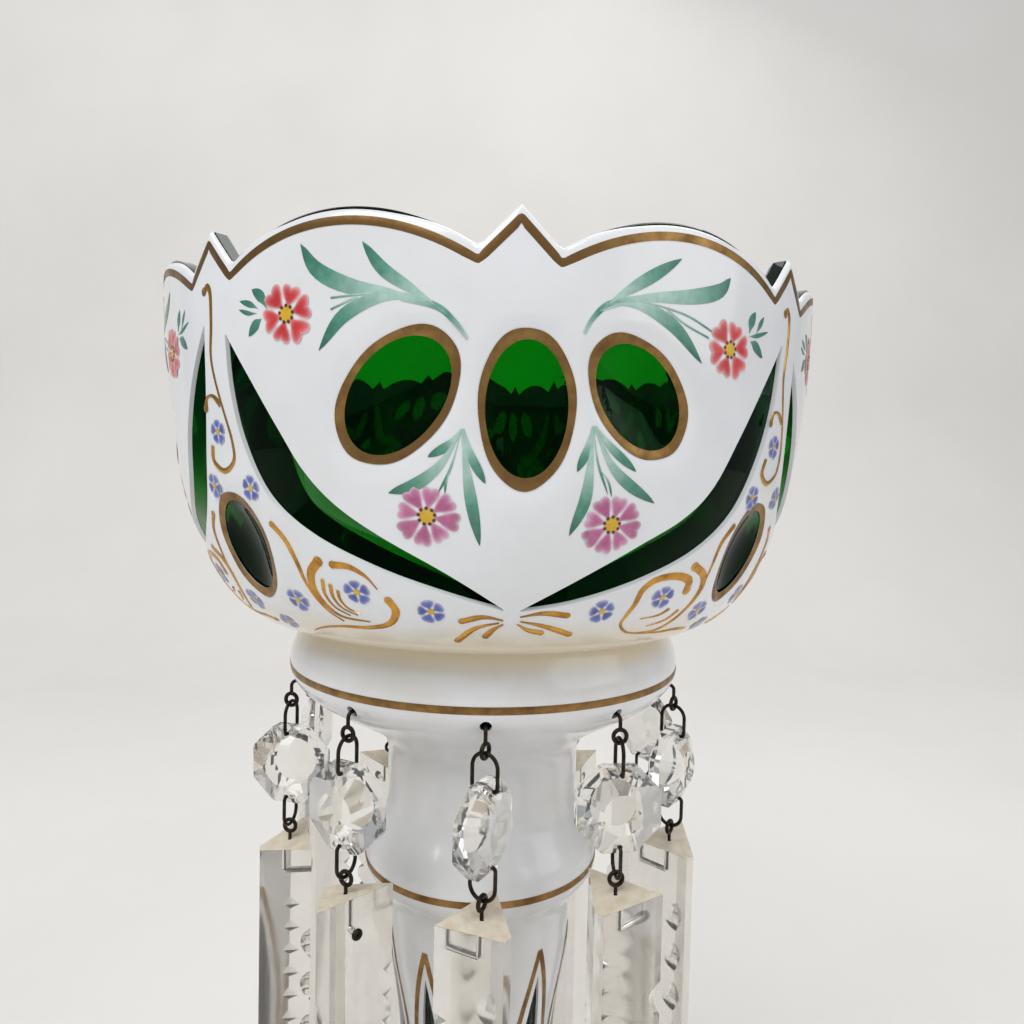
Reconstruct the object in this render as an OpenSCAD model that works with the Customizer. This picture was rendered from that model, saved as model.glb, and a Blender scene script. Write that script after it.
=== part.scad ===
// Mantel lustre: a white-over-green cased glass bowl cemented on a hollow pedestal,
// with crystal beads and prisms hung on wire from the pedestal's collar.
// Millimetres, +Z up. The foot stands on z = 0 and the first panel of the bowl faces -Y.

/* [Glass] */
// Height of the whole lustre, from the table to the rim's points
total_h = 340; // [320:1:360]
// Thickness of the green glass wall
glass_wall = 3.4; // [3:0.1:4]
// Thickness of the white casing over the green glass
overlay_t = 0.8; // [0.6:0.1:1.2]

/* [Bowl] */
// Height of the bowl, from its seat to the rim's points
bowl_h = 76; // [70:1:84]
// Outer radius of the bowl at the rim
bowl_r = 75; // [70:0.5:80]
// Outer radius of the bowl's flat seat
seat_r = 46; // [44:0.5:48]
// Roundness of the bowl's lower curve
lower_power = 2.5; // [2:0.1:3]
// Fullness of the bowl's side
side_power = 2.2; // [1.8:0.1:2.6]
// Thickness of the bowl's floor
bowl_floor = 5; // [4:0.5:8]

/* [Rim] */
// Panels round the bowl, each with a point at its middle and one at its edge
panels = 4; // [4:1:4]
// Height of a point above its foot
point_h = 7; // [4:0.2:8]
// Half the width of a point at its foot
point_half_w = 6.9; // [5:0.1:8]
// Distance that a lobe runs over a point's foot, which sets the notch between them
notch_lap = 1; // [0.6:0.1:2]

/* [Windows] */
// Depth that the grinding wheel cuts into the bowl
wheel_depth = 3; // [2.6:0.1:3.2]
// Half the height of a panel's middle window
middle_half_h = 10.8; // [9:0.1:12]
// Half the width of a panel's middle window
middle_half_w = 6.9; // [5.5:0.1:7.5]
// Distance of the middle window's centre below the rim's points
middle_drop = 31.3; // [28:0.1:34]
// Half the length of a panel's side window
side_half_h = 10.6; // [9:0.1:11.5]
// Half the width of a panel's side window
side_half_w = 7; // [6:0.1:7.5]
// Distance of a side window's centre below the rim's points
side_drop = 29.4; // [27:0.1:32]
// Angle round the bowl from the panel's middle to a side window
side_angle = 15.6; // [14:0.1:17]
// Lean of a side window, its top towards the panel's middle
side_lean = 42; // [20:1:50]
// Half the height of the window between two panels
edge_half_h = 9.2; // [7:0.1:10]
// Half the width of the window between two panels
edge_half_w = 6.5; // [4.5:0.1:6.8]
// Distance of that window's centre below the rim's points
edge_drop = 56; // [52:0.1:58]

/* [Swags] */
// Angle from the panel's middle to the swag's own middle
swag_angle = 22; // [21:0.1:23]
// Distance of a swag's upper tip from its own middle, seen square on
swag_top_x = 25.7; // [24:0.1:26.5]
// Distance of a swag's upper tip below the rim's points
swag_top_drop = 17.1; // [14:0.1:22]
// Distance of a swag's lower tip from its own middle, seen square on
swag_low_x = 22.2; // [20:0.1:23]
// Distance of a swag's lower tip below the rim's points
swag_low_drop = 65.2; // [62:0.1:67]
// Distance that the lower edge is drawn down from the upper tip
swag_fall = 38.9; // [34:0.1:42]
// Distance that the lower edge is drawn out from the lower tip
swag_run = 27.2; // [24:0.1:32]
// Rise of the lower edge over that distance
swag_rise = 9.2; // [6:0.1:11]
// Distance that the upper edge is drawn across from the upper tip
swag_upper_in = 31.3; // [28:0.1:34]
// Distance that the upper edge is drawn down from the upper tip
swag_upper_fall = 49.6; // [46:0.1:52]
// Distance that the upper edge is drawn across from the lower tip
swag_upper_run = 41; // [38:0.1:44]
// Distance that the upper edge is drawn up from the lower tip
swag_upper_rise = 31.4; // [28:0.1:33]

/* [Pedestal] */
// Radius of the collar where the bowl sits
collar_top_r = 45.4; // [44:0.1:46]
// Largest radius of the collar
collar_r = 47.8; // [46.5:0.1:49]
// Distance from the bowl's seat down to the collar's widest ring
collar_drop = 10; // [9:0.5:12]
// Radius of the neck under the collar
neck_r = 24; // [22:0.5:26]
// Distance from the bowl's seat down to the neck
neck_drop = 35; // [33:0.5:38]
// Length of the straight neck
neck_len = 9; // [6:0.5:12]
// Radius of the bulge under the neck
bulge_r = 29.3; // [27:0.1:31]
// Distance from the bowl's seat down to the bulge
bulge_drop = 60.5; // [58:0.5:64]
// Radius where the shaft starts, under the bulge
shoulder_r = 23.2; // [21:0.1:25]
// Distance from the bowl's seat down to the start of the shaft
shoulder_drop = 72; // [70:0.5:76]
// Least radius of the shaft
shaft_r = 19.6; // [18.5:0.1:21]
// Distance from the bowl's seat down to where the shaft is least
shaft_drop = 114; // [105:1:125]

/* [Lancets] */
// Distance from the bowl's seat down to a lancet's upper tip
lancet_drop = 84; // [80:1:90]
// Length of a lancet window
lancet_len = 108; // [90:1:112]
// Width of a lancet window between its straight sides
lancet_w = 6; // [4:0.1:7]
// Height of the pointed arch at each end of a lancet
lancet_arch_h = 32; // [20:1:40]

/* [Foot] */
// Radius of the foot
foot_r = 68; // [62:0.5:74]
// Height where the shaft starts to flare into the foot
flare_h = 96; // [86:1:100]
// Sharpness of the flare
flare_power = 2.2; // [1.8:0.1:2.6]
// Height of the foot's straight edge
foot_edge_h = 6; // [4:0.5:8]
// Height of the rounded lip above the straight edge
foot_lip_h = 6; // [4:0.5:8]
// Distance that the lip rolls inwards
foot_lip_in = 3; // [2:0.5:4]
// Height of the white casing's lower edge above the table
overlay_lift = 0.6; // [0.3:0.1:1]

/* [Cement] */
// Width of the cement bed between the collar and the bowl
cement_w = 3.6; // [2:0.1:3.8]
// Distance from the collar's outer edge to the cement bed
cement_in = 0.4; // [0.2:0.1:0.8]

/* [Chains] */
// Drops round the collar
chains = 10; // [10:1:10]
// Angle of the first drop from the middle of the first panel
chain_phase = -2.6; // [-8:0.1:8]
// Diameter of the wire
wire_d = 0.8; // [0.6:0.05:0.9]
// Diameter of the thicker, coiled wire of an eye
coil_d = 0.9; // [0.85:0.05:1.1]
// Radius of an eye, to the middle of its wire
eye_r = 1.4; // [1.3:0.05:1.7]
// Radius of a bend in a hook, to the middle of its wire
bend_r = 1.2; // [1:0.05:1.5]
// Play between two pieces that hang on each other
hang_play = 0.12; // [0.08:0.01:0.2]
// Distance from the bowl's seat down to the holes in the collar
hole_drop = 14.7; // [13.5:0.1:16]
// Diameter of a hole in the collar
hole_d = 2.4; // [2.2:0.05:2.8]
// Distance that a drop hangs outside its hole
chain_out = 1; // [0.8:0.1:2]
// Distance from a hole down to the lowest wire of a hook's eye
hook_drop = 5.8; // [5.4:0.1:8]
// Distance that a hook reaches past the collar's wall
tail_in = 1.2; // [1:0.1:2]
// Height of a hook's upturned tail
tail_h = 2.4; // [2:0.1:3]
// Length of a link, between its two rounds
link_len = 7.2; // [6.6:0.1:9]
// Play between a link and the bead's faces
link_play = 0.3; // [0.2:0.05:0.6]

/* [Beads] */
// Width of a bead across its flats
bead_w = 18; // [16:0.5:19]
// Thickness of a bead
bead_t = 8; // [6:0.5:9]
// Thickness of a bead at its edge
bead_edge_t = 2.4; // [2:0.1:3]
// Width of a bead's flat face
bead_face_w = 8.4; // [7:0.1:10]
// Diameter of the holes in a bead
bead_hole_d = 1.3; // [1.2:0.05:1.6]
// Distance of those holes from the bead's edge
bead_hole_in = 1.7; // [1.5:0.1:2.2]
// Width ground off across a bead's corners
bead_corner_cut = 0.3; // [0.2:0.05:0.6]

/* [Prisms] */
// Length of a prism
prism_len = 130; // [120:1:136]
// Width of a prism's flat back
prism_w = 17.6; // [16:0.1:18.5]
// Depth of a prism, before its ridge is ground flat
prism_d = 12.5; // [11:0.1:14]
// Width of the flat ground along a prism's ridge
ridge_w = 2.2; // [1:0.1:3]
// Slope of a prism's top, down towards the ridge
top_slope = 12; // [5:1:20]
// Length of a prism's pointed end
point_len = 24; // [16:1:30]
// Depth of the notches along a prism's edges
notch_d = 1.5; // [0.8:0.1:1.8]
// Pitch of the toothed edge
tooth_pitch = 5.6; // [4.5:0.1:8]
// Pitch of the scalloped edge
scallop_pitch = 10; // [8:0.1:14]
// Length of an edge's scallop
scallop_len = 7; // [5:0.1:7.8]
// Plain length of an edge above its first notch
notch_start = 16; // [12:0.5:24]
// Length of pin that shows between its eye and the prism
pin_show = 1.8; // [1.4:0.1:3]
// Depth of the pin's hole below the prism's top
pin_depth = 6.5; // [5.5:0.1:9]
// Diameter of the pin's hole
pin_hole_d = 1.4; // [1.3:0.05:1.8]
// Radius of the bend in a pin
pin_bend_r = 0.8; // [0.7:0.05:0.9]
// Radius of the coil that heads a pin
head_r = 0.75; // [0.7:0.02:0.78]
// Gap between a pin's head and the prism's back
head_play = 0.1; // [0.05:0.05:0.3]

/* [Hidden] */
// How far each bead hangs turned from facing straight out, from the first drop round to the right
bead_turn = [58, -30, -22, 15, -20, 30, -12, 24, 58, 6];
// How far each prism's ridge is turned from pointing straight out, in the same order
prism_turn = [48, -74, -40, 20, -140, 12, 160, -18, 0, -104];

$fn = 64;
long_arc_fn = 720;                          // sides of the large circles that bound the lancets
slack = 1;                                  // overrun of a cutting tool past what it cuts
wall = glass_wall + overlay_t;
seat_z = total_h - bowl_h;
rim_z = total_h - point_h;                  // level where the rim's points and lobes start
point_step = 180 / panels;                  // angle from one rim point to the next
panel_step = 360 / panels;
chain_step = 360 / chains;
hole_z = seat_z - hole_drop;

function ease(t) = t * t * t * (t * (6 * t - 15) + 10);
function ease_run(a, b, n) =
    [for (i = [0:n - 1]) [a.x + (b.x - a.x) * ease(i / n), a.y + (b.y - a.y) * i / n]];
function reversed(p) = [for (i = [len(p) - 1:-1:0]) p[i]];

// Outward normal of an outline that runs upwards
function normal_at(p, i) =
    let (d = p[min(i + 1, len(p) - 1)] - p[max(i - 1, 0)]) [d.y, -d.x] / norm(d);

// An outline moved inwards by d, with its two ends kept level
function inset(p, d) =
    [for (i = [0:len(p) - 1]) i == 0 || i == len(p) - 1 ? p[i] - [d, 0] : p[i] - d * normal_at(p, i)];

// Radius of the bowl's outside at a height
function bowl_r_at(z) =
    let (t = (z - seat_z) / bowl_h)
    seat_r + (bowl_r - seat_r) * pow(1 - pow(1 - t, lower_power), 1 / side_power);

// Lean of the bowl's side from upright at a height, positive where it leans out
function bowl_lean_at(z) = atan(bowl_r_at(z + 0.5) - bowl_r_at(z - 0.5));

bowl_steps = 14;
blank_lean = 0.05;                          // outward lean of the blank above the rim, which is cut away
bowl_outline = concat(
    [for (i = [0:bowl_steps - 1]) let (z = seat_z + bowl_h * pow(i / bowl_steps, 2)) [bowl_r_at(z), z]],
    [[bowl_r + blank_lean, total_h + slack]]);

// The bowl's outline moved in by d, from the seat's edge up past the rim
function bowl_skin(d) =
    let (p = inset(bowl_outline, d)) [for (i = [0:len(p) - 1]) i == 0 ? [seat_r, seat_z + d] : p[i]];

neck_z = seat_z - neck_drop;
bulge_z = seat_z - bulge_drop;
shoulder_z = seat_z - shoulder_drop;
shaft_z = seat_z - shaft_drop;
foot_top_z = foot_edge_h + foot_lip_h;
swag_steps = 16;                            // straight steps in each edge of a swag
flare_steps = 8;
function flare(n) =
    [for (i = [0:n - 1]) let (t = 1 - i / n)
        [shaft_r + (foot_r - foot_lip_in - shaft_r) * pow(t, flare_power),
            flare_h + (foot_top_z - flare_h) * t]];

// The pedestal's outside from the table up to the bowl's seat
pedestal_outline = concat(
    [[foot_r, 0], [foot_r, foot_edge_h]],
    [for (a = [30, 60]) [foot_r - foot_lip_in * (1 - cos(a)), foot_edge_h + foot_lip_h * sin(a)]],
    flare(flare_steps),
    [[shaft_r, flare_h]],
    ease_run([shaft_r, shaft_z], [shoulder_r, shoulder_z], 5),
    ease_run([shoulder_r, shoulder_z], [bulge_r, bulge_z], 5),
    ease_run([bulge_r, bulge_z], [neck_r, neck_z - neck_len], 6),
    ease_run([neck_r, neck_z], [collar_r, seat_z - collar_drop], 8),
    ease_run([collar_r, seat_z - collar_drop], [collar_top_r, seat_z], 4),
    [[collar_top_r, seat_z]]);

// Radius of the collar's underside at a height
function collar_r_at(z) =
    neck_r + (collar_r - neck_r) * ease((z - neck_z) / (seat_z - collar_drop - neck_z));

hole_r = collar_r_at(hole_z);               // where a hole opens on the collar
chain_r = hole_r + chain_out;
tail_r = hole_r - wall - tail_in - slack;
eye_low_z = hole_z - hook_drop;

// Heights down a chain: each piece hangs on the wire above it
link1_top_z = eye_low_z + (wire_d + coil_d) / 2 + hang_play;
link1_low_z = link1_top_z - link_len;
bead_z = link1_low_z + wire_d / 2 + hang_play - bead_hole_d / 2 + bead_hole_in - bead_w / 2;
link2_top_z = bead_z - bead_w / 2 + bead_hole_in - bead_hole_d / 2 + wire_d / 2 + hang_play;
link2_low_z = link2_top_z - link_len;
pin_eye_z = link2_low_z + (wire_d + coil_d) / 2 + hang_play - eye_r;
prism_top_z = pin_eye_z - eye_r - pin_show;

// Half the bead's thickness at its holes, and the link that has to clear it
bead_slope = (bead_t - bead_edge_t) / (bead_w - bead_face_w);
bead_half_at_hole = bead_edge_t / 2 + bead_slope * bead_hole_in;
link_half_w = bead_half_at_hole + wire_d / 2 + link_play;
link_bend_r = wire_d;

back_x = -prism_d / 3;                      // the prism hangs on its centroid
ridge_x = back_x + prism_d * (1 - ridge_w / prism_w);

function two(k) = str(k < 10 ? "0" : "", k);
function names(piece) = [for (k = [1:chains]) str(piece, "_", two(k))];

// Turns a piece that faces +X to an angle round the lustre, with 0 at the front and right positive
module round_to(angle) {
    rotate([0, 0, angle - 90]) children();
}

// Places a tool on the bowl's skin, its +X along the outward normal
module on_bowl(angle, z) {
    round_to(angle) translate([bowl_r_at(z), 0, z]) rotate([0, bowl_lean_at(z), 0]) children();
}

// A cutting wheel sunk into the skin. Its rim opens a window of the given half sizes in the casing.
module wheel(half_h, half_w, across_curve) {
    opened = wheel_depth - overlay_t;
    wheel_r = half_h * half_h / 2 / opened;
    rim_r = 1 / (2 * opened / (half_w * half_w) - across_curve);
    translate([wheel_r - wheel_depth, 0, 0]) rotate([90, 0, 0]) rotate_extrude()
        intersection() {
            translate([wheel_r - rim_r, 0]) circle(rim_r);
            translate([0, -rim_r]) square([wheel_r, 2 * rim_r]);
        }
}

module window_wheels() {
    curve = 1 / bowl_r;
    for (p = [0:panels - 1]) {
        on_bowl(p * panel_step, total_h - middle_drop) wheel(middle_half_h, middle_half_w, curve);
        on_bowl((p + 0.5) * panel_step, total_h - edge_drop) wheel(edge_half_h, edge_half_w, curve);
        for (s = [-1, 1])
            on_bowl(p * panel_step + s * side_angle, total_h - side_drop)
                rotate([s * side_lean, 0, 0]) wheel(side_half_h, side_half_w, curve);
    }
}

// A smooth line from a to d, drawn towards b where it starts and from c where it ends
function cubic_line(a, b, c, d) = [for (i = [0:swag_steps]) let (t = i / swag_steps, u = 1 - t)
    pow(u, 3) * a + 3 * u * u * t * b + 3 * u * t * t * c + pow(t, 3) * d];

// A slim curved leaf that is pointed at both ends
module swag_outline() {
    top = [swag_top_x, total_h - swag_top_drop];
    low = [-swag_low_x, total_h - swag_low_drop];
    lower = cubic_line(top, top - [0, swag_fall], low + [swag_run, swag_rise], low);
    upper = cubic_line(top, top - [swag_upper_in, swag_upper_fall],
        low + [swag_upper_run, swag_upper_rise], low);
    polygon(concat(lower, [for (i = [swag_steps - 1:-1:1]) upper[i]]));
}

// Pushes a flat outline, drawn square on, outwards between two radii
module outwards(r_from, r_to) {
    translate([r_from, 0, 0]) rotate([90, 0, 90]) linear_extrude(r_to - r_from) children();
}

module swags() {
    for (p = [0:panels - 1])
        round_to(p * panel_step)
            for (s = [0, 1])
                mirror([0, s, 0]) rotate([0, 0, swag_angle]) outwards(seat_r, bowl_r + slack) swag_outline();
}

// Everything above the rim's edge, which has lobes between sharp points
module above_rim() {
    lobe_half = bowl_r * sin(point_step / 2 - asin((point_half_w - notch_lap) / bowl_r));
    lobe_r = (lobe_half * lobe_half + point_h * point_h) / (2 * point_h);
    inner_r = bowl_r - 2 * wall;
    outer_r = bowl_r + 2 * slack;
    difference() {
        translate([0, 0, rim_z]) cylinder(r = bowl_r + slack, h = point_h + 2 * slack);
        for (i = [0:2 * panels - 1]) {
            round_to(i * point_step) outwards(inner_r, outer_r)
                polygon([[-point_half_w, rim_z - slack], [-point_half_w, rim_z], [0, total_h],
                    [point_half_w, rim_z], [point_half_w, rim_z - slack]]);
            round_to((i + 0.5) * point_step) translate([inner_r, 0, total_h - lobe_r])
                rotate([0, 90, 0]) cylinder(r = lobe_r, h = outer_r - inner_r, $fn = 2 * $fn);
        }
    }
}

module bowl_green_glass() {
    inside = concat([[0, seat_z + overlay_t + bowl_floor]],
        [for (p = inset(bowl_outline, wall)) if (p.y > seat_z + overlay_t + bowl_floor) p]);
    color([0.02, 0.30, 0.10, 0.6])
        difference() {
            rotate_extrude()
                polygon(concat([[0, seat_z + overlay_t]], bowl_skin(overlay_t), reversed(inside)));
            above_rim();
            window_wheels();
        }
}

module bowl_white_overlay() {
    color([0.93, 0.94, 0.95])
        difference() {
            rotate_extrude() polygon(concat(bowl_skin(0), reversed(bowl_skin(overlay_t))));
            above_rim();
            window_wheels();
            swags();
        }
}

module collar_holes() {
    for (k = [0:chains - 1])
        round_to(chain_phase + k * chain_step) translate([tail_r, 0, hole_z])
            rotate([0, 90, 0]) cylinder(d = hole_d, h = collar_r + slack - tail_r);
}

// A window with straight sides and a pointed arch at each end, from its upper tip down
module lancet_outline() {
    arc_r = (pow(lancet_arch_h, 2) + pow(lancet_w / 2, 2)) / lancet_w;
    straight = lancet_len - 2 * lancet_arch_h;
    for (y = [-lancet_arch_h, lancet_arch_h - lancet_len])
        translate([0, y]) intersection_for (s = [-1, 1])
            translate([s * (arc_r - lancet_w / 2), 0]) circle(arc_r, $fn = long_arc_fn);
    translate([-lancet_w / 2, -lancet_arch_h - straight]) square([lancet_w, straight]);
}

module lancets() {
    for (k = [0:chains - 1])
        round_to(k * chain_step) outwards(shaft_r - wall, bulge_r + slack)
            translate([0, seat_z - lancet_drop]) lancet_outline();
}

// The shell of the pedestal between two depths below its outside
module pedestal_shell(d_out, d_in, bottom) {
    lifted = concat([[foot_r, bottom]], [for (i = [1:len(pedestal_outline) - 1]) pedestal_outline[i]]);
    rotate_extrude() polygon(concat(inset(lifted, d_out), reversed(inset(lifted, d_in))));
}

module pedestal_green_glass() {
    color([0.02, 0.30, 0.10, 0.6])
        difference() {
            pedestal_shell(overlay_t, wall, 0);
            collar_holes();
        }
}

module pedestal_white_overlay() {
    color([0.93, 0.94, 0.95])
        difference() {
            pedestal_shell(0, overlay_t, overlay_lift);
            collar_holes();
            lancets();
        }
}

module cement_bed() {
    outer = collar_top_r - cement_in;
    color([0.85, 0.80, 0.66])
        translate([0, 0, seat_z]) difference() {
            cylinder(r = outer, h = overlay_t);
            translate([0, 0, -slack]) cylinder(r = outer - cement_w, h = overlay_t + 2 * slack);
        }
}

// A bend of wire in the XZ plane about the origin, from one angle to another
module wire_bend(r, from, to) {
    rotate([90, 0, 0]) rotate([0, 0, from]) rotate_extrude(angle = to - from)
        translate([r, 0]) circle(d = wire_d);
}

// A straight wire up from the origin
module wire(len) {
    cylinder(d = wire_d, h = len);
}

// A coiled eye about the X axis
module eye(r) {
    rotate([0, 90, 0]) rotate_extrude() translate([r, 0]) circle(d = coil_d);
}

// Moves a piece from the lustre's axis to a chain
module on_chain(k) {
    round_to(chain_phase + k * chain_step) translate([chain_r, 0, 0]) children();
}

module hook(k) {
    tail_x = tail_r - chain_r;
    color([0.20, 0.17, 0.13])
        on_chain(k) {
            translate([tail_x, 0, hole_z + bend_r]) wire(tail_h);
            translate([tail_x + bend_r, 0, hole_z + bend_r]) wire_bend(bend_r, 180, 270);
            translate([tail_x + bend_r, 0, hole_z]) rotate([0, 90, 0]) wire(-tail_x - 2 * bend_r);
            translate([-bend_r, 0, hole_z - bend_r]) wire_bend(bend_r, 0, 90);
            translate([0, 0, eye_low_z + 2 * eye_r]) wire(hook_drop - bend_r - 2 * eye_r);
            translate([0, 0, eye_low_z + eye_r]) rotate([0, 0, bead_turn[k]]) eye(eye_r);
        }
}

// A slab with sloping faces. Slabs crossed at equal turns leave a faceted bead.
module bead_slab(w) {
    rotate([90, 0, 0]) linear_extrude(2 * bead_w, center = true)
        polygon([[-w, -bead_edge_t] / 2, [-bead_face_w, -bead_t] / 2, [bead_face_w, -bead_t] / 2,
            [w, -bead_edge_t] / 2, [w, bead_edge_t] / 2, [bead_face_w, bead_t] / 2,
            [-bead_face_w, bead_t] / 2, [-w, bead_edge_t] / 2]);
}

module bead(k) {
    hole_off = bead_w / 2 - bead_hole_in;
    corner_w = bead_w / cos(22.5) - bead_corner_cut;
    color([0.90, 0.91, 0.90, 0.5])
        on_chain(k) translate([0, 0, bead_z]) rotate([0, 0, bead_turn[k]]) rotate([0, 90, 0])
            difference() {
                intersection_for (i = [0:7])
                    rotate([0, 0, 22.5 * i]) bead_slab(i % 2 == 0 ? bead_w : corner_w);
                for (x = [-hole_off, hole_off])
                    translate([x, 0, -bead_t]) cylinder(d = bead_hole_d, h = 2 * bead_t);
            }
}

// A long link in the XZ plane: round at the bottom, square across the bead at the top
module link() {
    corner_x = link_half_w - link_bend_r;
    leg = link_len - link_half_w - link_bend_r;
    translate([0, 0, link_half_w]) wire_bend(link_half_w, 180, 360);
    for (s = [0, 1])
        mirror([s, 0, 0]) {
            translate([link_half_w, 0, link_half_w]) wire(leg);
            translate([corner_x, 0, link_half_w + leg]) wire_bend(link_bend_r, 0, 90);
        }
    translate([-corner_x, 0, link_len]) rotate([0, 90, 0]) wire(2 * corner_x);
}

module bead_links(k) {
    color([0.20, 0.17, 0.13])
        on_chain(k) rotate([0, 0, bead_turn[k]]) {
            translate([0, 0, link1_top_z]) mirror([0, 0, 1]) link();
            translate([0, 0, link2_low_z]) link();
        }
}

// A prism's outline seen square on its back, with one toothed edge and one scalloped edge
module prism_outline() {
    half = prism_w / 2;
    notched = prism_len - notch_start - point_len;
    scallop_r = (scallop_len * scallop_len / 4 + notch_d * notch_d) / (2 * notch_d);
    difference() {
        polygon([[-half, slack], [half, slack], [half, point_len - prism_len], [0, -prism_len],
            [-half, point_len - prism_len]]);
        for (i = [0:floor(notched / tooth_pitch) - 1])
            translate([-half, -notch_start - i * tooth_pitch])
                polygon([[-slack, -slack], [0, 0], [notch_d, -notch_d], [0, -2 * notch_d],
                    [-slack, slack - 2 * notch_d]]);
        for (i = [0:floor(notched / scallop_pitch) - 1])
            translate([half + scallop_r - notch_d, -notch_start - (i + 0.5) * scallop_pitch])
                circle(scallop_r);
    }
}

// A prism's section: a flat back at -X and a ridge, ground flat, at +X
module prism_section() {
    polygon([[back_x, -prism_w / 2], [ridge_x, -ridge_w / 2], [ridge_x, ridge_w / 2],
        [back_x, prism_w / 2]]);
}

module prism(k) {
    reach = prism_w + prism_d;
    color([0.90, 0.91, 0.90, 0.5])
        on_chain(k) translate([0, 0, prism_top_z]) rotate([0, 0, prism_turn[k]])
            difference() {
                intersection() {
                    translate([0, 0, -prism_len]) linear_extrude(prism_len + slack) prism_section();
                    outwards(back_x - slack, ridge_x + slack) prism_outline();
                }
                rotate([0, top_slope, 0]) translate([-reach, -reach, 0]) cube(2 * reach);
                translate([ridge_x, 0, point_len - prism_len]) rotate([0, atan(prism_d / point_len), 0])
                    translate([0, -reach, -2 * point_len]) cube([reach, 2 * reach, 3 * point_len]);
                translate([0, 0, -pin_depth]) cylinder(d = pin_hole_d, h = pin_depth + slack);
                translate([back_x - slack, 0, -pin_depth]) rotate([0, 90, 0])
                    cylinder(d = pin_hole_d, h = slack - back_x);
            }
}

module prism_pin(k) {
    head_x = back_x - head_play - coil_d / 2;
    color([0.20, 0.17, 0.13])
        on_chain(k) {
            translate([0, 0, pin_eye_z]) rotate([0, 0, bead_turn[k]]) eye(eye_r);
            translate([0, 0, prism_top_z - pin_depth + pin_bend_r])
                wire(pin_depth + pin_show - pin_bend_r);
            translate([0, 0, prism_top_z - pin_depth]) rotate([0, 0, prism_turn[k]]) {
                translate([-pin_bend_r, 0, pin_bend_r]) wire_bend(pin_bend_r, 270, 360);
                translate([head_x, 0, 0]) rotate([0, 90, 0]) wire(-head_x - pin_bend_r);
                translate([head_x, 0, 0]) eye(head_r);
            }
        }
}

bowl_green_glass();
bowl_white_overlay();
pedestal_green_glass();
pedestal_white_overlay();
cement_bed();
for (k = [0:chains - 1]) {
    hook(k);
    bead(k);
    bead_links(k);
    prism(k);
    prism_pin(k);
}
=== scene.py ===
# %% [markdown]
# # A mantel lustre
# The lustre is a bowl and a pedestal of cased glass: green inside, white outside. A wheel has ground
# windows through the white, a painter has added gilding and enamel, and crystal drops hang from the collar.
# The CAD frame gives the main sizes and places. This lesson dresses it, one piece and one finish at a time.

# %% Load the frame
import math

import bmesh
import bpy
from mathutils import Matrix, Vector


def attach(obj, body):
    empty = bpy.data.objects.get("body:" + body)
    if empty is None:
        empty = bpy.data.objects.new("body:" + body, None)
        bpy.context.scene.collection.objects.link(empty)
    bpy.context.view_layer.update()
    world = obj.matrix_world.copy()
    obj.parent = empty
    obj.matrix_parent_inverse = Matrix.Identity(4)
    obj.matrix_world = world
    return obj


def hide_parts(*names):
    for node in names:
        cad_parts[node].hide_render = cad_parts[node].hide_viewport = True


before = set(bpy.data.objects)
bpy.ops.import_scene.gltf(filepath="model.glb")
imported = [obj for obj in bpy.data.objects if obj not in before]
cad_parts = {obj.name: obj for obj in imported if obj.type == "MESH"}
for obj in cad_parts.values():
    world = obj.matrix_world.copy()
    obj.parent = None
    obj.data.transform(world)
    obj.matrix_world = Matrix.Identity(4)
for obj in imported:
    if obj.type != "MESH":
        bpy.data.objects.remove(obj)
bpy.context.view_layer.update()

MM = 0.001
print("nodes in the frame:", len(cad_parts))

# %% [markdown]
# ## The camera
# The picture was taken from close by, so the bowl looms and the foot is out of view. A camera could be
# aimed with a constraint, but here its place, its focal length and its three small turns were fitted to the
# rim's points, the collar's holes and the outline, so it is built from its own directions.

# %% Camera
CAMERA_AT = Vector((-10.66, -191.60, 297.36)) * MM
FOCAL_PIXELS = 754.67
IMAGE_PIXELS = 1024
YAW, PITCH, ROLL, PANEL_TURN = (math.radians(a) for a in (1.83, 2.38, 1.32, 3.18))


def camera_matrix():
    """The camera's turn, built from its right, up and forward directions."""
    forward = Vector((math.sin(YAW) * math.cos(PITCH), math.cos(YAW) * math.cos(PITCH), -math.sin(PITCH)))
    up = Vector((math.sin(YAW) * math.sin(PITCH), math.cos(YAW) * math.sin(PITCH), math.cos(PITCH)))
    right = Vector((math.cos(YAW), -math.sin(YAW), 0))
    rolled_right = right * math.cos(ROLL) + up * math.sin(ROLL)
    rolled_up = up * math.cos(ROLL) - right * math.sin(ROLL)
    turn = Matrix.Rotation(-PANEL_TURN, 3, "Z")
    matrix = Matrix((turn @ rolled_right, turn @ rolled_up, -(turn @ forward))).transposed().to_4x4()
    matrix.translation = CAMERA_AT
    return matrix


camera = bpy.data.objects.new("camera", bpy.data.cameras.new("camera"))
camera.data.sensor_width = 36
camera.data.lens = camera.data.sensor_width * FOCAL_PIXELS / IMAGE_PIXELS
camera.data.clip_start = 0.01
camera.matrix_world = camera_matrix()
bpy.context.scene.collection.objects.link(camera)
bpy.context.scene.camera = camera
print("lens:", round(camera.data.lens, 2), "mm")
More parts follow.
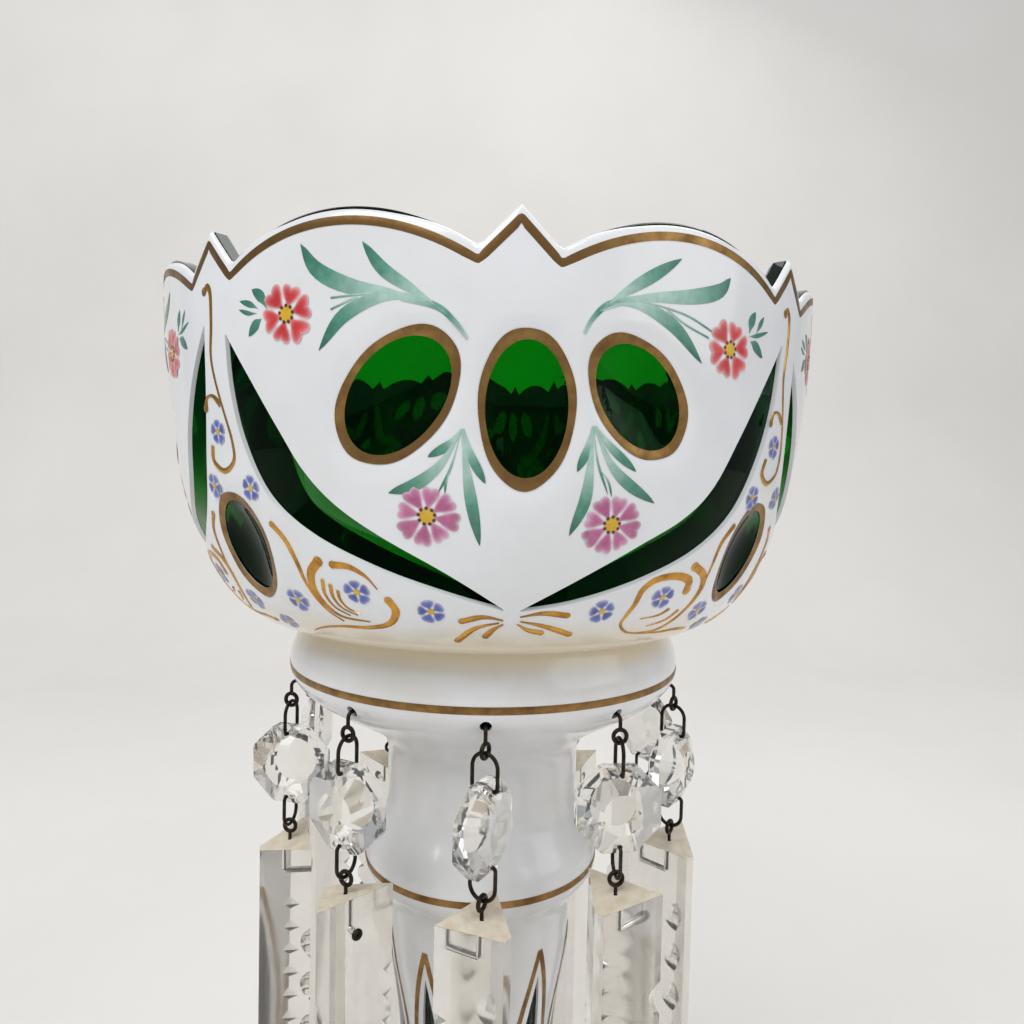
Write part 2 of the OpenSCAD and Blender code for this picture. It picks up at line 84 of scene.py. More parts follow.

# %% [markdown]
# ## Shared shader groups
# Old glass, gilding and wire have one thing in common: a finish that changes softly from place to place. It
# could be painted as a picture, but noise on Object coordinates needs no file and stays on its piece at
# every pose. So the cloudy tint is built once as a group, and each material sets its own values. A second
# group masks a creamy band near the seam: partly the stain that old cement has left, partly a painted warm
# reflection.


# %% Node helpers
def new_group(name, inputs, outputs):
    """An empty shader group with named sockets, and its input and output nodes."""
    group = bpy.data.node_groups.new(name, "ShaderNodeTree")
    for label, kind, value in inputs:
        socket = group.interface.new_socket(label, in_out="INPUT", socket_type=kind)
        socket.default_value = value
    for label, kind in outputs:
        group.interface.new_socket(label, in_out="OUTPUT", socket_type=kind)
    return group, group.nodes.new("NodeGroupInput"), group.nodes.new("NodeGroupOutput")


def link(tree, a, a_socket, b, b_socket):
    """Links an output of one node to an input of another."""
    tree.links.new(a.outputs[a_socket], b.inputs[b_socket])


def add(tree, kind, **settings):
    """A node with its settings. A setting whose name is a socket's goes to that socket."""
    node = tree.nodes.new(kind)
    for name, value in settings.items():
        label = name.replace("_", " ").title()
        if hasattr(node, name):
            setattr(node, name, value)
        else:
            node.inputs[label].default_value = value
    return node


MIX_FACTOR, MIX_A, MIX_B, MIX_COLOUR = 0, 6, 7, 2
print("sockets of a colour mix:", MIX_FACTOR, MIX_A, MIX_B, MIX_COLOUR)


# %% Cloudy tint
def make_cloudy_tint():
    """Two colours mixed by soft clouds, and a roughness that follows them."""
    group, given, made = new_group(
        "cloudy tint",
        [("Scale", "NodeSocketFloat", 40), ("Clear", "NodeSocketColor", (1, 1, 1, 1)),
         ("Clouded", "NodeSocketColor", (0.8, 0.8, 0.8, 1)), ("Smooth", "NodeSocketFloat", 0.1),
         ("Rough", "NodeSocketFloat", 0.3)],
        [("Color", "NodeSocketColor"), ("Roughness", "NodeSocketFloat")])
    place = add(group, "ShaderNodeTexCoord")
    noise = add(group, "ShaderNodeTexNoise", detail=5, roughness=0.6)
    link(group, place, "Object", noise, "Vector")
    link(group, given, "Scale", noise, "Scale")
    spread = add(group, "ShaderNodeMapRange", from_min=0.35, from_max=0.68)
    link(group, noise, "Fac", spread, "Value")
    tint = add(group, "ShaderNodeMix", data_type="RGBA")
    link(group, spread, "Result", tint, MIX_FACTOR)
    link(group, given, "Clear", tint, MIX_A)
    link(group, given, "Clouded", tint, MIX_B)
    finish = add(group, "ShaderNodeMapRange")
    link(group, spread, "Result", finish, "Value")
    link(group, given, "Smooth", finish, "To Min")
    link(group, given, "Rough", finish, "To Max")
    link(group, tint, MIX_COLOUR, made, "Color")
    link(group, finish, "Result", made, "Roughness")
    return group


CLOUDY_TINT = make_cloudy_tint()
print("nodes of the cloudy tint:", len(CLOUDY_TINT.nodes))

# %% Stain
RAGGED = 0.003
BAND_HEIGHTS = ("Low", "Full Low", "Full High", "High")


def make_stain_and_reflection():
    """A mask for a ragged creamy band between two heights, in metres: partly a stain, partly a painted warm
    reflection.
    """
    group, given, made = new_group(
        "stain_and_reflection", [(label, "NodeSocketFloat", 0) for label in BAND_HEIGHTS], [("Mask", "NodeSocketFloat")])
    place = add(group, "ShaderNodeTexCoord")
    height = add(group, "ShaderNodeSeparateXYZ")
    link(group, place, "Object", height, "Vector")
    ragged = add(group, "ShaderNodeTexNoise", scale=45, detail=4)
    link(group, place, "Object", ragged, "Vector")
    wander = add(group, "ShaderNodeMapRange", to_min=-RAGGED, to_max=RAGGED)
    link(group, ragged, "Fac", wander, "Value")
    moved = add(group, "ShaderNodeMath", operation="ADD")
    link(group, height, "Z", moved, 0)
    link(group, wander, "Result", moved, 1)
    both = add(group, "ShaderNodeMath", operation="MULTIPLY")
    for i, (start, end) in enumerate((("Low", "Full Low"), ("High", "Full High"))):
        side = add(group, "ShaderNodeMapRange")
        link(group, moved, "Value", side, "Value")
        link(group, given, start, side, "From Min")
        link(group, given, end, side, "From Max")
        link(group, side, "Result", both, i)
    link(group, both, "Value", made, "Mask")
    return group


STAIN_AND_PAINTED_REFLECTION = make_stain_and_reflection()
print("nodes of the stain:", len(STAIN_AND_PAINTED_REFLECTION.nodes))


# %% Material helpers
def linear(r, g, b):
    """A colour as seen on a screen, from 0 to 255, in the shader's linear scale."""
    def one(c):
        c /= 255
        return c / 12.92 if c <= 0.04045 else ((c + 0.055) / 1.055) ** 2.4
    return (one(r), one(g), one(b), 1.0)


def new_material(name, **settings):
    """A material with its shader, whose plain sockets are set directly."""
    material = bpy.data.materials.new(name)
    material.use_nodes = True
    shader = material.node_tree.nodes["Principled BSDF"]
    for label, value in settings.items():
        shader.inputs[label.replace("_", " ")].default_value = value
    return material, material.node_tree, shader


def cloudy(tree, shader, scale, clear, clouded, smooth, rough):
    """Places the cloudy tint in a material, on colour and roughness."""
    node = tree.nodes.new("ShaderNodeGroup")
    node.node_tree = CLOUDY_TINT
    node.inputs["Scale"].default_value = scale
    node.inputs["Clear"].default_value = clear
    node.inputs["Clouded"].default_value = clouded
    node.inputs["Smooth"].default_value = smooth
    node.inputs["Rough"].default_value = rough
    link(tree, node, "Color", shader, "Base Color")
    link(tree, node, "Roughness", shader, "Roughness")
    return node


def bumpy(tree, shader, scale, strength, distance):
    """Fine relief from noise."""
    place = add(tree, "ShaderNodeTexCoord")
    noise = add(tree, "ShaderNodeTexNoise", scale=scale, detail=4)
    bump = add(tree, "ShaderNodeBump", strength=strength, distance=distance)
    link(tree, place, "Object", noise, "Vector")
    link(tree, noise, "Fac", bump, "Height")
    link(tree, bump, "Normal", shader, "Normal")


def cloudy_material(name, scale, colours, finish, bumps=None, **settings):
    """A material with the cloudy tint, and with fine relief where bumps are given."""
    material, tree, shader = new_material(name, **settings)
    cloudy(tree, shader, scale, *colours, *finish)
    if bumps:
        bumpy(tree, shader, *bumps)
    return material


print("groups:", [g.name for g in bpy.data.node_groups])

# %% [markdown]
# ## Glass
# White casing is opaque glass: smooth, glossy and faintly milky, with a creamy band near the seam that is
# partly a cement stain and partly a painted warm reflection. The green is clear glass of a deep colour. In
# the grooves it takes a darker green that is painted shade, and a groove's steep facet takes a brighter green
# where it is seen at a slant, a painted highlight. Layers of glass could be a volume, but a tinted surface
# renders faster and can be exported.


# %% White and green glass
def white_glass(name, clouds, clouded, heights):
    """Glossy white glass with a creamy band between some heights, in millimetres: partly a cement stain,
    partly a painted warm reflection.
    """
    material, tree, shader = new_material(name, Coat_Weight=0.35, Coat_Roughness=0.04, IOR=1.5)
    tint = cloudy(tree, shader, clouds, linear(236, 238, 241), clouded, 0.12, 0.2)
    bumpy(tree, shader, 60, 0.06, 0.0004)
    stain_and_reflection = tree.nodes.new("ShaderNodeGroup")
    stain_and_reflection.node_tree = STAIN_AND_PAINTED_REFLECTION
    for label, z in zip(BAND_HEIGHTS, heights):
        stain_and_reflection.inputs[label].default_value = z * MM
    # The creamy colour near the seam is partly a cement stain and partly a painted warm reflection.
    stain_and_reflection_tint = add(tree, "ShaderNodeMix", data_type="RGBA")
    stain_and_reflection_tint.inputs[MIX_B].default_value = linear(226, 212, 184)
    link(tree, stain_and_reflection, "Mask", stain_and_reflection_tint, MIX_FACTOR)
    link(tree, tint, "Color", stain_and_reflection_tint, MIX_A)
    link(tree, stain_and_reflection_tint, MIX_COLOUR, shader, "Base Color")
    return material


white_casing = white_glass("white_casing", 35, linear(228, 229, 230), (255.5, 260, 267, 273))
pedestal_white = white_glass("pedestal_white", 26, linear(224, 222, 218), (258.5, 262.5, 267, 273))


def green_glass(name, clear, clouded, through):
    """Glass of a deep green, whose reflections keep a little of the green."""
    return cloudy_material(name, 90, (clear, clouded), (0.01, 0.04), Transmission_Weight=through, IOR=1.5,
                           Specular_IOR_Level=0.1, Specular_Tint=linear(60, 130, 80))


# A dark green: the pedestal's own deep colour, and painted shade on the swag grooves' broad faces.
DEEP_GREEN_AND_PAINTED_SHADE = linear(0, 62, 22)
emerald = green_glass("emerald_glass", linear(0, 120, 4), linear(0, 111, 3), 1.0)
deep_emerald_painted_shade = green_glass("deep_emerald_glass", DEEP_GREEN_AND_PAINTED_SHADE, linear(0, 54, 18), 1.0)
# A brighter green for the grooves' steep facets: a painted highlight.
painted_highlight_emerald = green_glass("lit_emerald_glass", linear(0, 160, 2), linear(0, 148, 1), 0.6)


def paint_shade_straight_on(material, straight):
    """Paints a glass darker where it is seen straight on and brighter at a slant: painted shade and a painted
    highlight.
    """
    tree = material.node_tree
    shader = tree.nodes["Principled BSDF"]
    facing = add(tree, "ShaderNodeLayerWeight", blend=0.5)
    slanting = add(tree, "ShaderNodeMapRange", from_min=0.1, from_max=0.45)
    link(tree, facing, "Facing", slanting, "Value")
    painted_highlight_mix = add(tree, "ShaderNodeMix", data_type="RGBA")
    painted_highlight_mix.inputs[MIX_A].default_value = straight
    tree.links.new(shader.inputs["Base Color"].links[0].from_socket, painted_highlight_mix.inputs[MIX_B])
    link(tree, slanting, "Result", painted_highlight_mix, MIX_FACTOR)
    link(tree, painted_highlight_mix, MIX_COLOUR, shader, "Base Color")


paint_shade_straight_on(painted_highlight_emerald, DEEP_GREEN_AND_PAINTED_SHADE)
print("glass:", [m.name for m in (white_casing, pedestal_white, emerald, deep_emerald_painted_shade, painted_highlight_emerald)])

# %% [markdown]
# ## Gold, enamel, crystal and wire
# Gilding is thin worn gold, and the raised gold of the scrolls is thicker and brighter. Enamel is paint, so
# its colour could be one material for each hue, but an attribute lets one material take every colour from
# the brush. Crystal is clear, its ground ends are matte with a pale warm colour that is partly painted light,
# and the wire has gone dark with age.


# %% Gold, enamel, crystal and wire
def gold(name, bright, worn, finish):
    """Worn metal with fine brush marks."""
    return cloudy_material(name, 260, (bright, worn), finish, bumps=(900, 0.25, 0.0001), Metallic=1.0)


gilding = gold("gilding", linear(158, 124, 76), linear(118, 88, 54), (0.28, 0.5))
raised_gold = gold("raised_gold", linear(214, 160, 74), linear(158, 112, 54), (0.15, 0.34))

enamel, tree, shader = new_material("enamel", Roughness=0.32, Coat_Weight=0.2, Coat_Roughness=0.15)
paint = add(tree, "ShaderNodeVertexColor", layer_name="paint")
place = add(tree, "ShaderNodeTexCoord")
streaks = add(tree, "ShaderNodeTexNoise", scale=700, detail=3)
link(tree, place, "Object", streaks, "Vector")
worn = add(tree, "ShaderNodeMix", data_type="RGBA", blend_type="SOFT_LIGHT")
worn.inputs[MIX_FACTOR].default_value = 0.55
link(tree, paint, "Color", worn, MIX_A)
link(tree, streaks, "Fac", worn, MIX_B)
link(tree, worn, MIX_COLOUR, shader, "Base Color")

bead_crystal = cloudy_material(
    "bead_crystal", 120, (linear(250, 249, 246), linear(243, 241, 236)), (0.01, 0.05),
    Transmission_Weight=0.95, IOR=1.5)
prism_crystal = cloudy_material(
    "prism_crystal", 120, (linear(246, 244, 240), linear(236, 232, 225)), (0.03, 0.12),
    Transmission_Weight=0.94, IOR=1.5)
# The prisms' matte tops: a ground finish whose pale warm colour is partly painted light.
ground_crystal_and_painted_light = cloudy_material(
    "ground_crystal_and_painted_light", 400, (linear(222, 212, 194), linear(204, 191, 168)), (0.5, 0.7))
dark_wire = cloudy_material(
    "dark_wire", 500, (linear(66, 58, 49), linear(36, 32, 28)), (0.34, 0.55), Metallic=1.0)
cement = cloudy_material(
    "cement", 180, (linear(214, 200, 168), linear(188, 172, 138)), (0.6, 0.85), bumps=(1500, 0.5, 0.0003))
print("materials:", len(bpy.data.materials))

# %% [markdown]
# ## The bowl's skin
# Everything on the bowl sits on one curve, the same as in the CAD frame, so it comes first: the radius at a
# height, the lean of the wall, and a point on the skin for an angle round the bowl, with 0 at the middle of
# the front panel. Paint could be shrink-wrapped onto the glass, but a formula puts each spot where it
# belongs and gives the same result every time. The rim has eight sharp points with low lobes between them.

# %% Bowl curve
TOTAL_H, BOWL_H, BOWL_R, SEAT_R = 340, 76, 75, 46
SEAT_Z = TOTAL_H - BOWL_H
LOWER_POWER, SIDE_POWER = 2.5, 2.2
CASING, WALL, FLOOR = 0.8, 4.2, 5
SEAM = 0.02
POINT_H, POINT_HALF_W, NOTCH_LAP, POINT_STEP = 7, 6.9, 1, 45
LEAN_STEP = 0.25


def bowl_radius(z):
    """Radius of the bowl's skin at a height."""
    t = min(max((z - SEAT_Z) / BOWL_H, 0), 1)
    return SEAT_R + (BOWL_R - SEAT_R) * (1 - (1 - t) ** LOWER_POWER) ** (1 / SIDE_POWER)


def bowl_lean(z):
    """The skin's angle from upright at a height."""
    return math.atan((bowl_radius(z + LEAN_STEP) - bowl_radius(z - LEAN_STEP)) / (2 * LEAN_STEP))


def around(angle, r, z):
    """A point in metres at an angle in degrees, 0 at the front and right positive."""
    a = math.radians(angle)
    return Vector((r * math.sin(a), -r * math.cos(a), z)) * MM


def on_bowl(angle, z, lift=0.0):
    """A point on the bowl's skin, or a lift above it."""
    lean = bowl_lean(z)
    return around(angle, bowl_radius(z) + lift * math.cos(lean), z - lift * math.sin(lean))


def beside(angle, z, x, y):
    """The angle and height of a spot x to the right and y up the skin from another, in millimetres."""
    return angle + math.degrees(x / bowl_radius(z)), z + y * math.cos(bowl_lean(z))


LOBE_HALF = BOWL_R * math.sin(math.radians(POINT_STEP / 2) - math.asin((POINT_HALF_W - NOTCH_LAP) / BOWL_R))
LOBE_R = (LOBE_HALF ** 2 + POINT_H ** 2) / (2 * POINT_H)


def from_point(angle):
    """Degrees from the rim's nearest point."""
    return abs((angle + POINT_STEP / 2) % POINT_STEP - POINT_STEP / 2)


def rim_height(angle):
    """Height of the rim's edge at an angle."""
    x = BOWL_R * math.sin(math.radians(from_point(angle)))
    point = TOTAL_H - POINT_H * x / POINT_HALF_W
    x = BOWL_R * math.sin(math.radians(POINT_STEP / 2 - from_point(angle)))
    lobe = TOTAL_H - LOBE_R + math.sqrt(LOBE_R ** 2 - x ** 2)
    return max(point, lobe)


print("rim at a point, a notch and a lobe:", [round(rim_height(a), 1) for a in (0, 5, 22.5)])

# %% [markdown]
# ## The ground windows
# Each window is an oval dish that the wheel has sunk through the casing. Two booleans could cut it, but the
# wheel's dish is so shallow that moving the skin in gives a smoother result. A dish is described by where
# it is and by half its height and width where the green opens. One number tells how far out a spot lies: 1
# on the opening's edge.

# %% Windows
PANEL_STEP = 90
WINDOW_DEPTH = 3.0
DISH_END = 1.5
WINDOWS = {
    "middle": dict(angle=1.4, z=308.5, half_h=11.1, half_w=6.8, lean=1),
    "right": dict(angle=16.3, z=311.2, half_h=9.9, half_w=6.7, lean=42),
    "left": dict(angle=-15.0, z=310.2, half_h=11.0, half_w=7.4, lean=-42),
    "edge": dict(angle=45, z=284, half_h=9.2, half_w=6.5, lean=0),
}


def window_spot(window, out, turn):
    """Offset from a window's centre, at a share of its size and an angle round its edge."""
    w, h = out * window["half_w"] * math.cos(turn), out * window["half_h"] * math.sin(turn)
    lean = math.radians(window["lean"])
    return w * math.cos(lean) - h * math.sin(lean), w * math.sin(lean) + h * math.cos(lean)


def window_share(window, angle, z):
    """How far out of a window a spot lies."""
    x = math.radians(angle - window["angle"]) * bowl_radius(window["z"])
    y = (z - window["z"]) / math.cos(bowl_lean(window["z"]))
    lean = math.radians(window["lean"])
    w, h = x * math.cos(lean) + y * math.sin(lean), y * math.cos(lean) - x * math.sin(lean)
    return math.hypot(w / window["half_w"], h / window["half_h"])


def dish_depth(angle, z, green):
    """Depth of the wheel's dish at a spot, on the casing or on the green glass."""
    angle = (angle + PANEL_STEP / 2) % PANEL_STEP - PANEL_STEP / 2
    share = min(window_share(w, a, z) for w in WINDOWS.values() for a in (angle, angle + PANEL_STEP))
    if green:
        return max(CASING + SEAM, WINDOW_DEPTH - (WINDOW_DEPTH - CASING) * share ** 2)
    t = min(max((share - 1) / (DISH_END - 1), 0), 1)
    return (CASING - 3 * SEAM) * (1 - t) ** 2 * (1 + 0.4 * t)


print("dish depth at a window's middle:", dish_depth(1.4, 308.5, True), "mm")

# %% [markdown]
# ## Spinning the two layers
# A blown bowl is round, so each layer is a closed outline spun about the axis. Then the rim is pulled down
# to its points and lobes, and the wheel's dishes are pressed in. The rim's outer edge has a narrow ground
# bevel, and on the lobes the green layer stands a hair above the white.

# %% Bowl layers
BOWL_COLUMNS = 480
RIM_FOLLOW_LOW, RIM_FOLLOW_HIGH = 322, 337
LIP, LIP_FROM_POINT, LIP_RUN = 0.55, 8, 8
LOWEST_DISH, SKIN_SLACK = 4, 0.3


def spun(outline, columns):
    """A bmesh spun about Z from a closed outline of (r, z) in millimetres."""
    bm = bmesh.new()
    verts = [bm.verts.new((r * MM, 0, z * MM)) for r, z in outline]
    edges = [bm.edges.new((a, b)) for a, b in zip(verts, verts[1:])]
    if outline[0][0] > 0 or outline[-1][0] > 0:
        edges.append(bm.edges.new((verts[-1], verts[0])))
    bmesh.ops.spin(bm, geom=verts + edges, axis=(0, 0, 1), cent=(0, 0, 0), angle=2 * math.pi,
                   steps=columns, use_merge=True)
    bmesh.ops.remove_doubles(bm, verts=bm.verts, dist=1e-7)
    bmesh.ops.recalc_face_normals(bm, faces=bm.faces)
    return bm


def skin_line(depth, low, high, count):
    """Outline along the bowl's wall at a depth below its skin, from low to high."""
    line = []
    for i in range(count + 1):
        z = low + (high - low) * (i / count) ** 1.5
        lean = bowl_lean(max(z, SEAT_Z + 0.3))
        line.append((bowl_radius(z) - depth * math.cos(lean), z + depth * math.sin(lean)))
    return line


def smooth_step(t):
    """A soft rise from 0 to 1."""
    t = min(max(t, 0), 1)
    return t * t * (3 - 2 * t)


def angle_of(co):
    return math.degrees(math.atan2(co.x, -co.y))


def follow_rim(bm, lip=0.0):
    """Pulls the top of a layer down to the rim's edge, and on the lobes a little below it."""
    for v in bm.verts:
        z = v.co.z / MM
        if z > RIM_FOLLOW_LOW:
            angle = angle_of(v.co)
            on_lobe = smooth_step((from_point(angle) - LIP_FROM_POINT) / LIP_RUN)
            down = TOTAL_H - rim_height(angle) + lip * on_lobe
            v.co.z -= down * smooth_step((z - RIM_FOLLOW_LOW) / (RIM_FOLLOW_HIGH - RIM_FOLLOW_LOW)) * MM


def press_dishes(bm, depth, green):
    """Moves the outer skin, which lies at a depth, in to the wheel's dishes."""
    for v in bm.verts:
        z, r = v.co.z / MM, math.hypot(v.co.x, v.co.y) / MM
        lean, angle = bowl_lean(z), angle_of(v.co)
        outside = r >= bowl_radius(z) - depth / math.cos(lean) - SKIN_SLACK
        if outside and SEAT_Z + LOWEST_DISH <= z <= RIM_FOLLOW_LOW:
            more = max(dish_depth(angle, z, green) - depth, 0)
            v.co -= around(angle, math.cos(lean), -math.sin(lean)) * more


def finished(bm, name, *materials, sharp=35):
    """Makes an object from a bmesh, smooth but for edges sharper than an angle."""
    for face in bm.faces:
        face.smooth = True
    for edge in bm.edges:
        edge.smooth = len(edge.link_faces) == 2 and edge.calc_face_angle(0) < math.radians(sharp)
    mesh = bpy.data.meshes.new(name)
    bm.to_mesh(mesh)
    bm.free()
    for material in materials:
        mesh.materials.append(material)
    obj = bpy.data.objects.new(name, mesh)
    bpy.context.scene.collection.objects.link(obj)
    return obj


print("columns round the bowl:", BOWL_COLUMNS)

# %% Bowl casing and green glass
BEVEL = 1.0
casing_bm = spun(
    [(SEAT_R, SEAT_Z)] + skin_line(0, SEAT_Z + 0.4, TOTAL_H - BEVEL, 84)
    + [(BOWL_R - 0.3, TOTAL_H - 0.35), (BOWL_R - 0.62, TOTAL_H - 0.05), (BOWL_R - CASING + SEAM, TOTAL_H)]
    + skin_line(CASING - SEAM, SEAT_Z + 0.6, TOTAL_H - 1, 34)[::-1] + [(SEAT_R, SEAT_Z + CASING - SEAM)],
    BOWL_COLUMNS)
press_dishes(casing_bm, 0, False)
follow_rim(casing_bm, LIP)
print("casing faces:", len(casing_bm.faces))

green_floor = SEAT_Z + CASING + FLOOR
green_inside = [p for p in skin_line(WALL, SEAT_Z + 0.6, TOTAL_H - 0.8, 50) if p[1] > green_floor + 1]
green_bm = spun(
    [(0, SEAT_Z + CASING), (SEAT_R - 2, SEAT_Z + CASING)]
    + skin_line(CASING + SEAM, SEAT_Z + 0.6, TOTAL_H - 0.3, 84)
    + [(BOWL_R - CASING - 0.3, TOTAL_H), (BOWL_R - WALL + 0.8, TOTAL_H)]
    + green_inside[::-1]
    + [(green_inside[0][0] - 2, green_floor + 0.2), (green_inside[0][0] - 5, green_floor), (0, green_floor)],
    BOWL_COLUMNS)
press_dishes(green_bm, CASING + SEAM, True)
follow_rim(green_bm)
print("green bowl faces:", len(green_bm.faces))

# %% [markdown]
# ## Cutting windows and swags
# The windows and the long curved swags are openings in the casing. They could be knifed into the mesh, but
# a boolean with a tool of the right shape leaves a clean wall. A swag is also a groove in the green glass:
# a broad face whose darker green is painted shade, and a steep narrow one along its upper edge whose brighter
# green is a painted highlight. The tool's faces carry material numbers, so the boolean gives each of them
# its own green.

# %% Swag curves
SWAG_STEPS, SWAG_TRIM = 80, 0.003
RIDGE_FROM, RIDGE_RUN = 0.3, 0.25
SWAGS = {
    1: dict(lower=[(43.4, 323.8), (42.7, 312.6), (40.8, 302.6), (37.0, 292.4), (30.4, 285.4), (20.6, 280.1),
                   (10.6, 276.5), (2.0, 274.8)],
            upper=[(43.4, 323.8), (38.6, 314.6), (34.6, 305.8), (30.6, 296.7), (26.0, 291.3), (19.0, 286.5),
                   (10.6, 280.7), (2.0, 274.8)], ridge=(0.88, 0.68)),
    -1: dict(lower=[(41.4, 321.6), (40.9, 312.0), (39.2, 302.6), (35.6, 293.6), (29.0, 287.2), (19.0, 281.8),
                    (9.1, 277.9), (0.3, 275.0)],
             upper=[(41.4, 321.6), (36.6, 313.2), (32.4, 305.2), (28.8, 298.2), (24.5, 292.7), (18.5, 287.8),
                    (8.9, 281.4), (0.3, 275.0)], ridge=(0.84, 0.48)),
}


def curve_through(points):
    """A smooth curve through points, as a function of t from 0 to 1."""
    points = [Vector(p) for p in points]
    ends = [2 * points[0] - points[1]] + points + [2 * points[-1] - points[-2]]

    def at(t):
        s = min(t * (len(points) - 1), len(points) - 1 - 1e-6)
        i, f = int(s), s - int(s)
        a, b, c, d = ends[i:i + 4]
        bend, twist = 2 * a - 5 * b + 4 * c - d, 3 * b - a - 3 * c + d
        return 0.5 * (2 * b + (c - a) * f + bend * f ** 2 + twist * f ** 3)
    return at


print("points along one swag's edges:", [len(SWAGS[1][edge]) for edge in ("lower", "upper")])


# %% Cutting tools
def loft(bm, loops, kinds):
    """Bridges loops of spots into a closed tool. The kinds are the material numbers of its sides."""
    rings = [[bm.verts.new(spot) for spot in loop] for loop in loops]
    for a, b in zip(rings, rings[1:]):
        for j in range(len(a)):
            face = bm.faces.new((a[j - 1], a[j], b[j], b[j - 1]))
            face.material_index = kinds[j]
    for end in (rings[0], rings[-1]):
        bm.faces.new(end)


def swag_tool(bm, section, kinds):
    """Tools along both swags. The section gives shares across (none is the ridge), depths and flares."""
    for side, swag in SWAGS.items():
        lower, upper = curve_through(swag["lower"]), curve_through(swag["upper"])
        loops = []
        for i in range(SWAG_STEPS + 1):
            t = SWAG_TRIM + (1 - 2 * SWAG_TRIM) * i / SWAG_STEPS
            low, high = lower(t), upper(t)
            out = math.hypot(math.radians(high.x - low.x) * bowl_radius(low.y), high.y - low.y)
            top, low_end = swag["ridge"]
            ridge = top + (low_end - top) * smooth_step((t - RIDGE_FROM) / RIDGE_RUN)
            spots = [(low.lerp(high, (ridge if share is None else share) + flare / out), depth)
                     for share, depth, flare in section]
            loops.append([on_bowl(side * spot.x, spot.y, -depth) for spot, depth in spots])
        loft(bm, loops, kinds)


def repeat_round(bm, turn=270, steps=3):
    """Copies a panel's tools or paint round the bowl."""
    bmesh.ops.spin(bm, geom=bm.verts[:] + bm.edges[:] + bm.faces[:], axis=(0, 0, 1), cent=(0, 0, 0),
                   angle=math.radians(turn), steps=steps, use_duplicate=True)


OVAL_STEPS, PLUG_OUT, CUT_PAST = 96, 2.5, 0.6


def window_tool(bm, window):
    """An oval plug through the casing."""
    turns = [2 * math.pi * i / OVAL_STEPS for i in range(OVAL_STEPS)]
    spots = [beside(window["angle"], window["z"], *window_spot(window, 1, turn)) for turn in turns]
    loops = [[on_bowl(angle, z, lift) for angle, z in spots] for lift in (PLUG_OUT, -CASING - CUT_PAST)]
    loft(bm, loops, [0] * OVAL_STEPS)


def cut(bm, tool_bm, materials=(white_casing,)):
    """The bmesh with the tool cut out of it. The cut faces keep the tool's material numbers."""
    bmesh.ops.recalc_face_normals(tool_bm, faces=tool_bm.faces)
    body, tool = finished(bm, "cut_body", *materials), finished(tool_bm, "cut_tool", *materials)
    boolean = body.modifiers.new("cut", "BOOLEAN")
    boolean.object, boolean.operation, boolean.solver = tool, "DIFFERENCE", "MANIFOLD"
    shown = body.evaluated_get(bpy.context.evaluated_depsgraph_get())
    result = bmesh.new()
    result.from_mesh(shown.data)
    for obj in (body, tool):
        mesh = obj.data
        bpy.data.objects.remove(obj)
        bpy.data.meshes.remove(mesh)
    return result


print("tools ready: swag, window and cut")

# %% Cut the bowl
TOOL_OUT, GROOVE_DEPTH = 2, 1.5
FLARE = 0.15 * (CASING + TOOL_OUT)
CUT_DEPTH = CASING + CUT_PAST
tools = bmesh.new()
swag_tool(tools, [(0, -TOOL_OUT, -FLARE), (0, CASING, 0), (0, CUT_DEPTH, 0),
                  (1, CUT_DEPTH, 0), (1, CASING, 0), (1, -TOOL_OUT, FLARE)], [0] * 6)
for window in WINDOWS.values():
    window_tool(tools, window)
repeat_round(tools)
before = len(casing_bm.verts)
casing_bm = cut(casing_bm, tools)
print("casing verts before and after the cut:", before, len(casing_bm.verts))

GREENS = (emerald, deep_emerald_painted_shade, painted_highlight_emerald)
grooves = bmesh.new()
# The grooves' broad faces take the green with painted shade, their steep facets the painted highlight.
swag_tool(grooves, [(0, -1, 0), (0, CASING, 0), (None, CASING + GROOVE_DEPTH, 0), (1, CASING, 0), (1, -1, 0)],
          [0, 1, 1, 2, 1])
repeat_round(grooves)
before = len(green_bm.verts)
green_bm = cut(green_bm, grooves, GREENS)
kinds = [sum(face.material_index == i for face in green_bm.faces) for i in range(len(GREENS))]
print("green verts before and after the cut:", before, len(green_bm.verts), "faces of each green:", kinds)


def dress(piece, node):
    """Puts a glass piece in the place of the frame's node."""
    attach(piece, "glassware")
    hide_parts(node)


dress(finished(casing_bm, "bowl_casing", white_casing), "bowl_white_overlay")
dress(finished(green_bm, "bowl_green", *GREENS, sharp=20), "bowl_green_glass")

# %% [markdown]
# ## The pedestal
# The pedestal is spun in the same way. Its outline follows the frame's: a rounded foot, a long flare, the
# shaft, the bulge with its ring, the neck and the collar. It could be one drawn curve, but runs that ease
# from one radius to the next need only a few numbers, and each has a name.

# %% Pedestal
COLLAR_TOP_R, COLLAR_R, COLLAR_Z = 45.4, 47.8, SEAT_Z - 10
NECK_R, NECK_Z, NECK_LEN = 24, SEAT_Z - 35, 9
BULGE_R, BULGE_Z = 29.3, SEAT_Z - 60.5
SHOULDER_R, SHOULDER_Z = 23.2, SEAT_Z - 72
SHAFT_R, SHAFT_Z = 19.6, SEAT_Z - 114
FOOT_R, FOOT_EDGE_H, FOOT_LIP_H, FOOT_LIP_IN, FLARE_H, FLARE_POWER = 68, 6, 6, 3, 96, 2.2
OVERLAY_LIFT = 0.6


def ease(t):
    """A rise from 0 to 1 that starts and ends flat."""
    return t ** 3 * (t * (6 * t - 15) + 10)


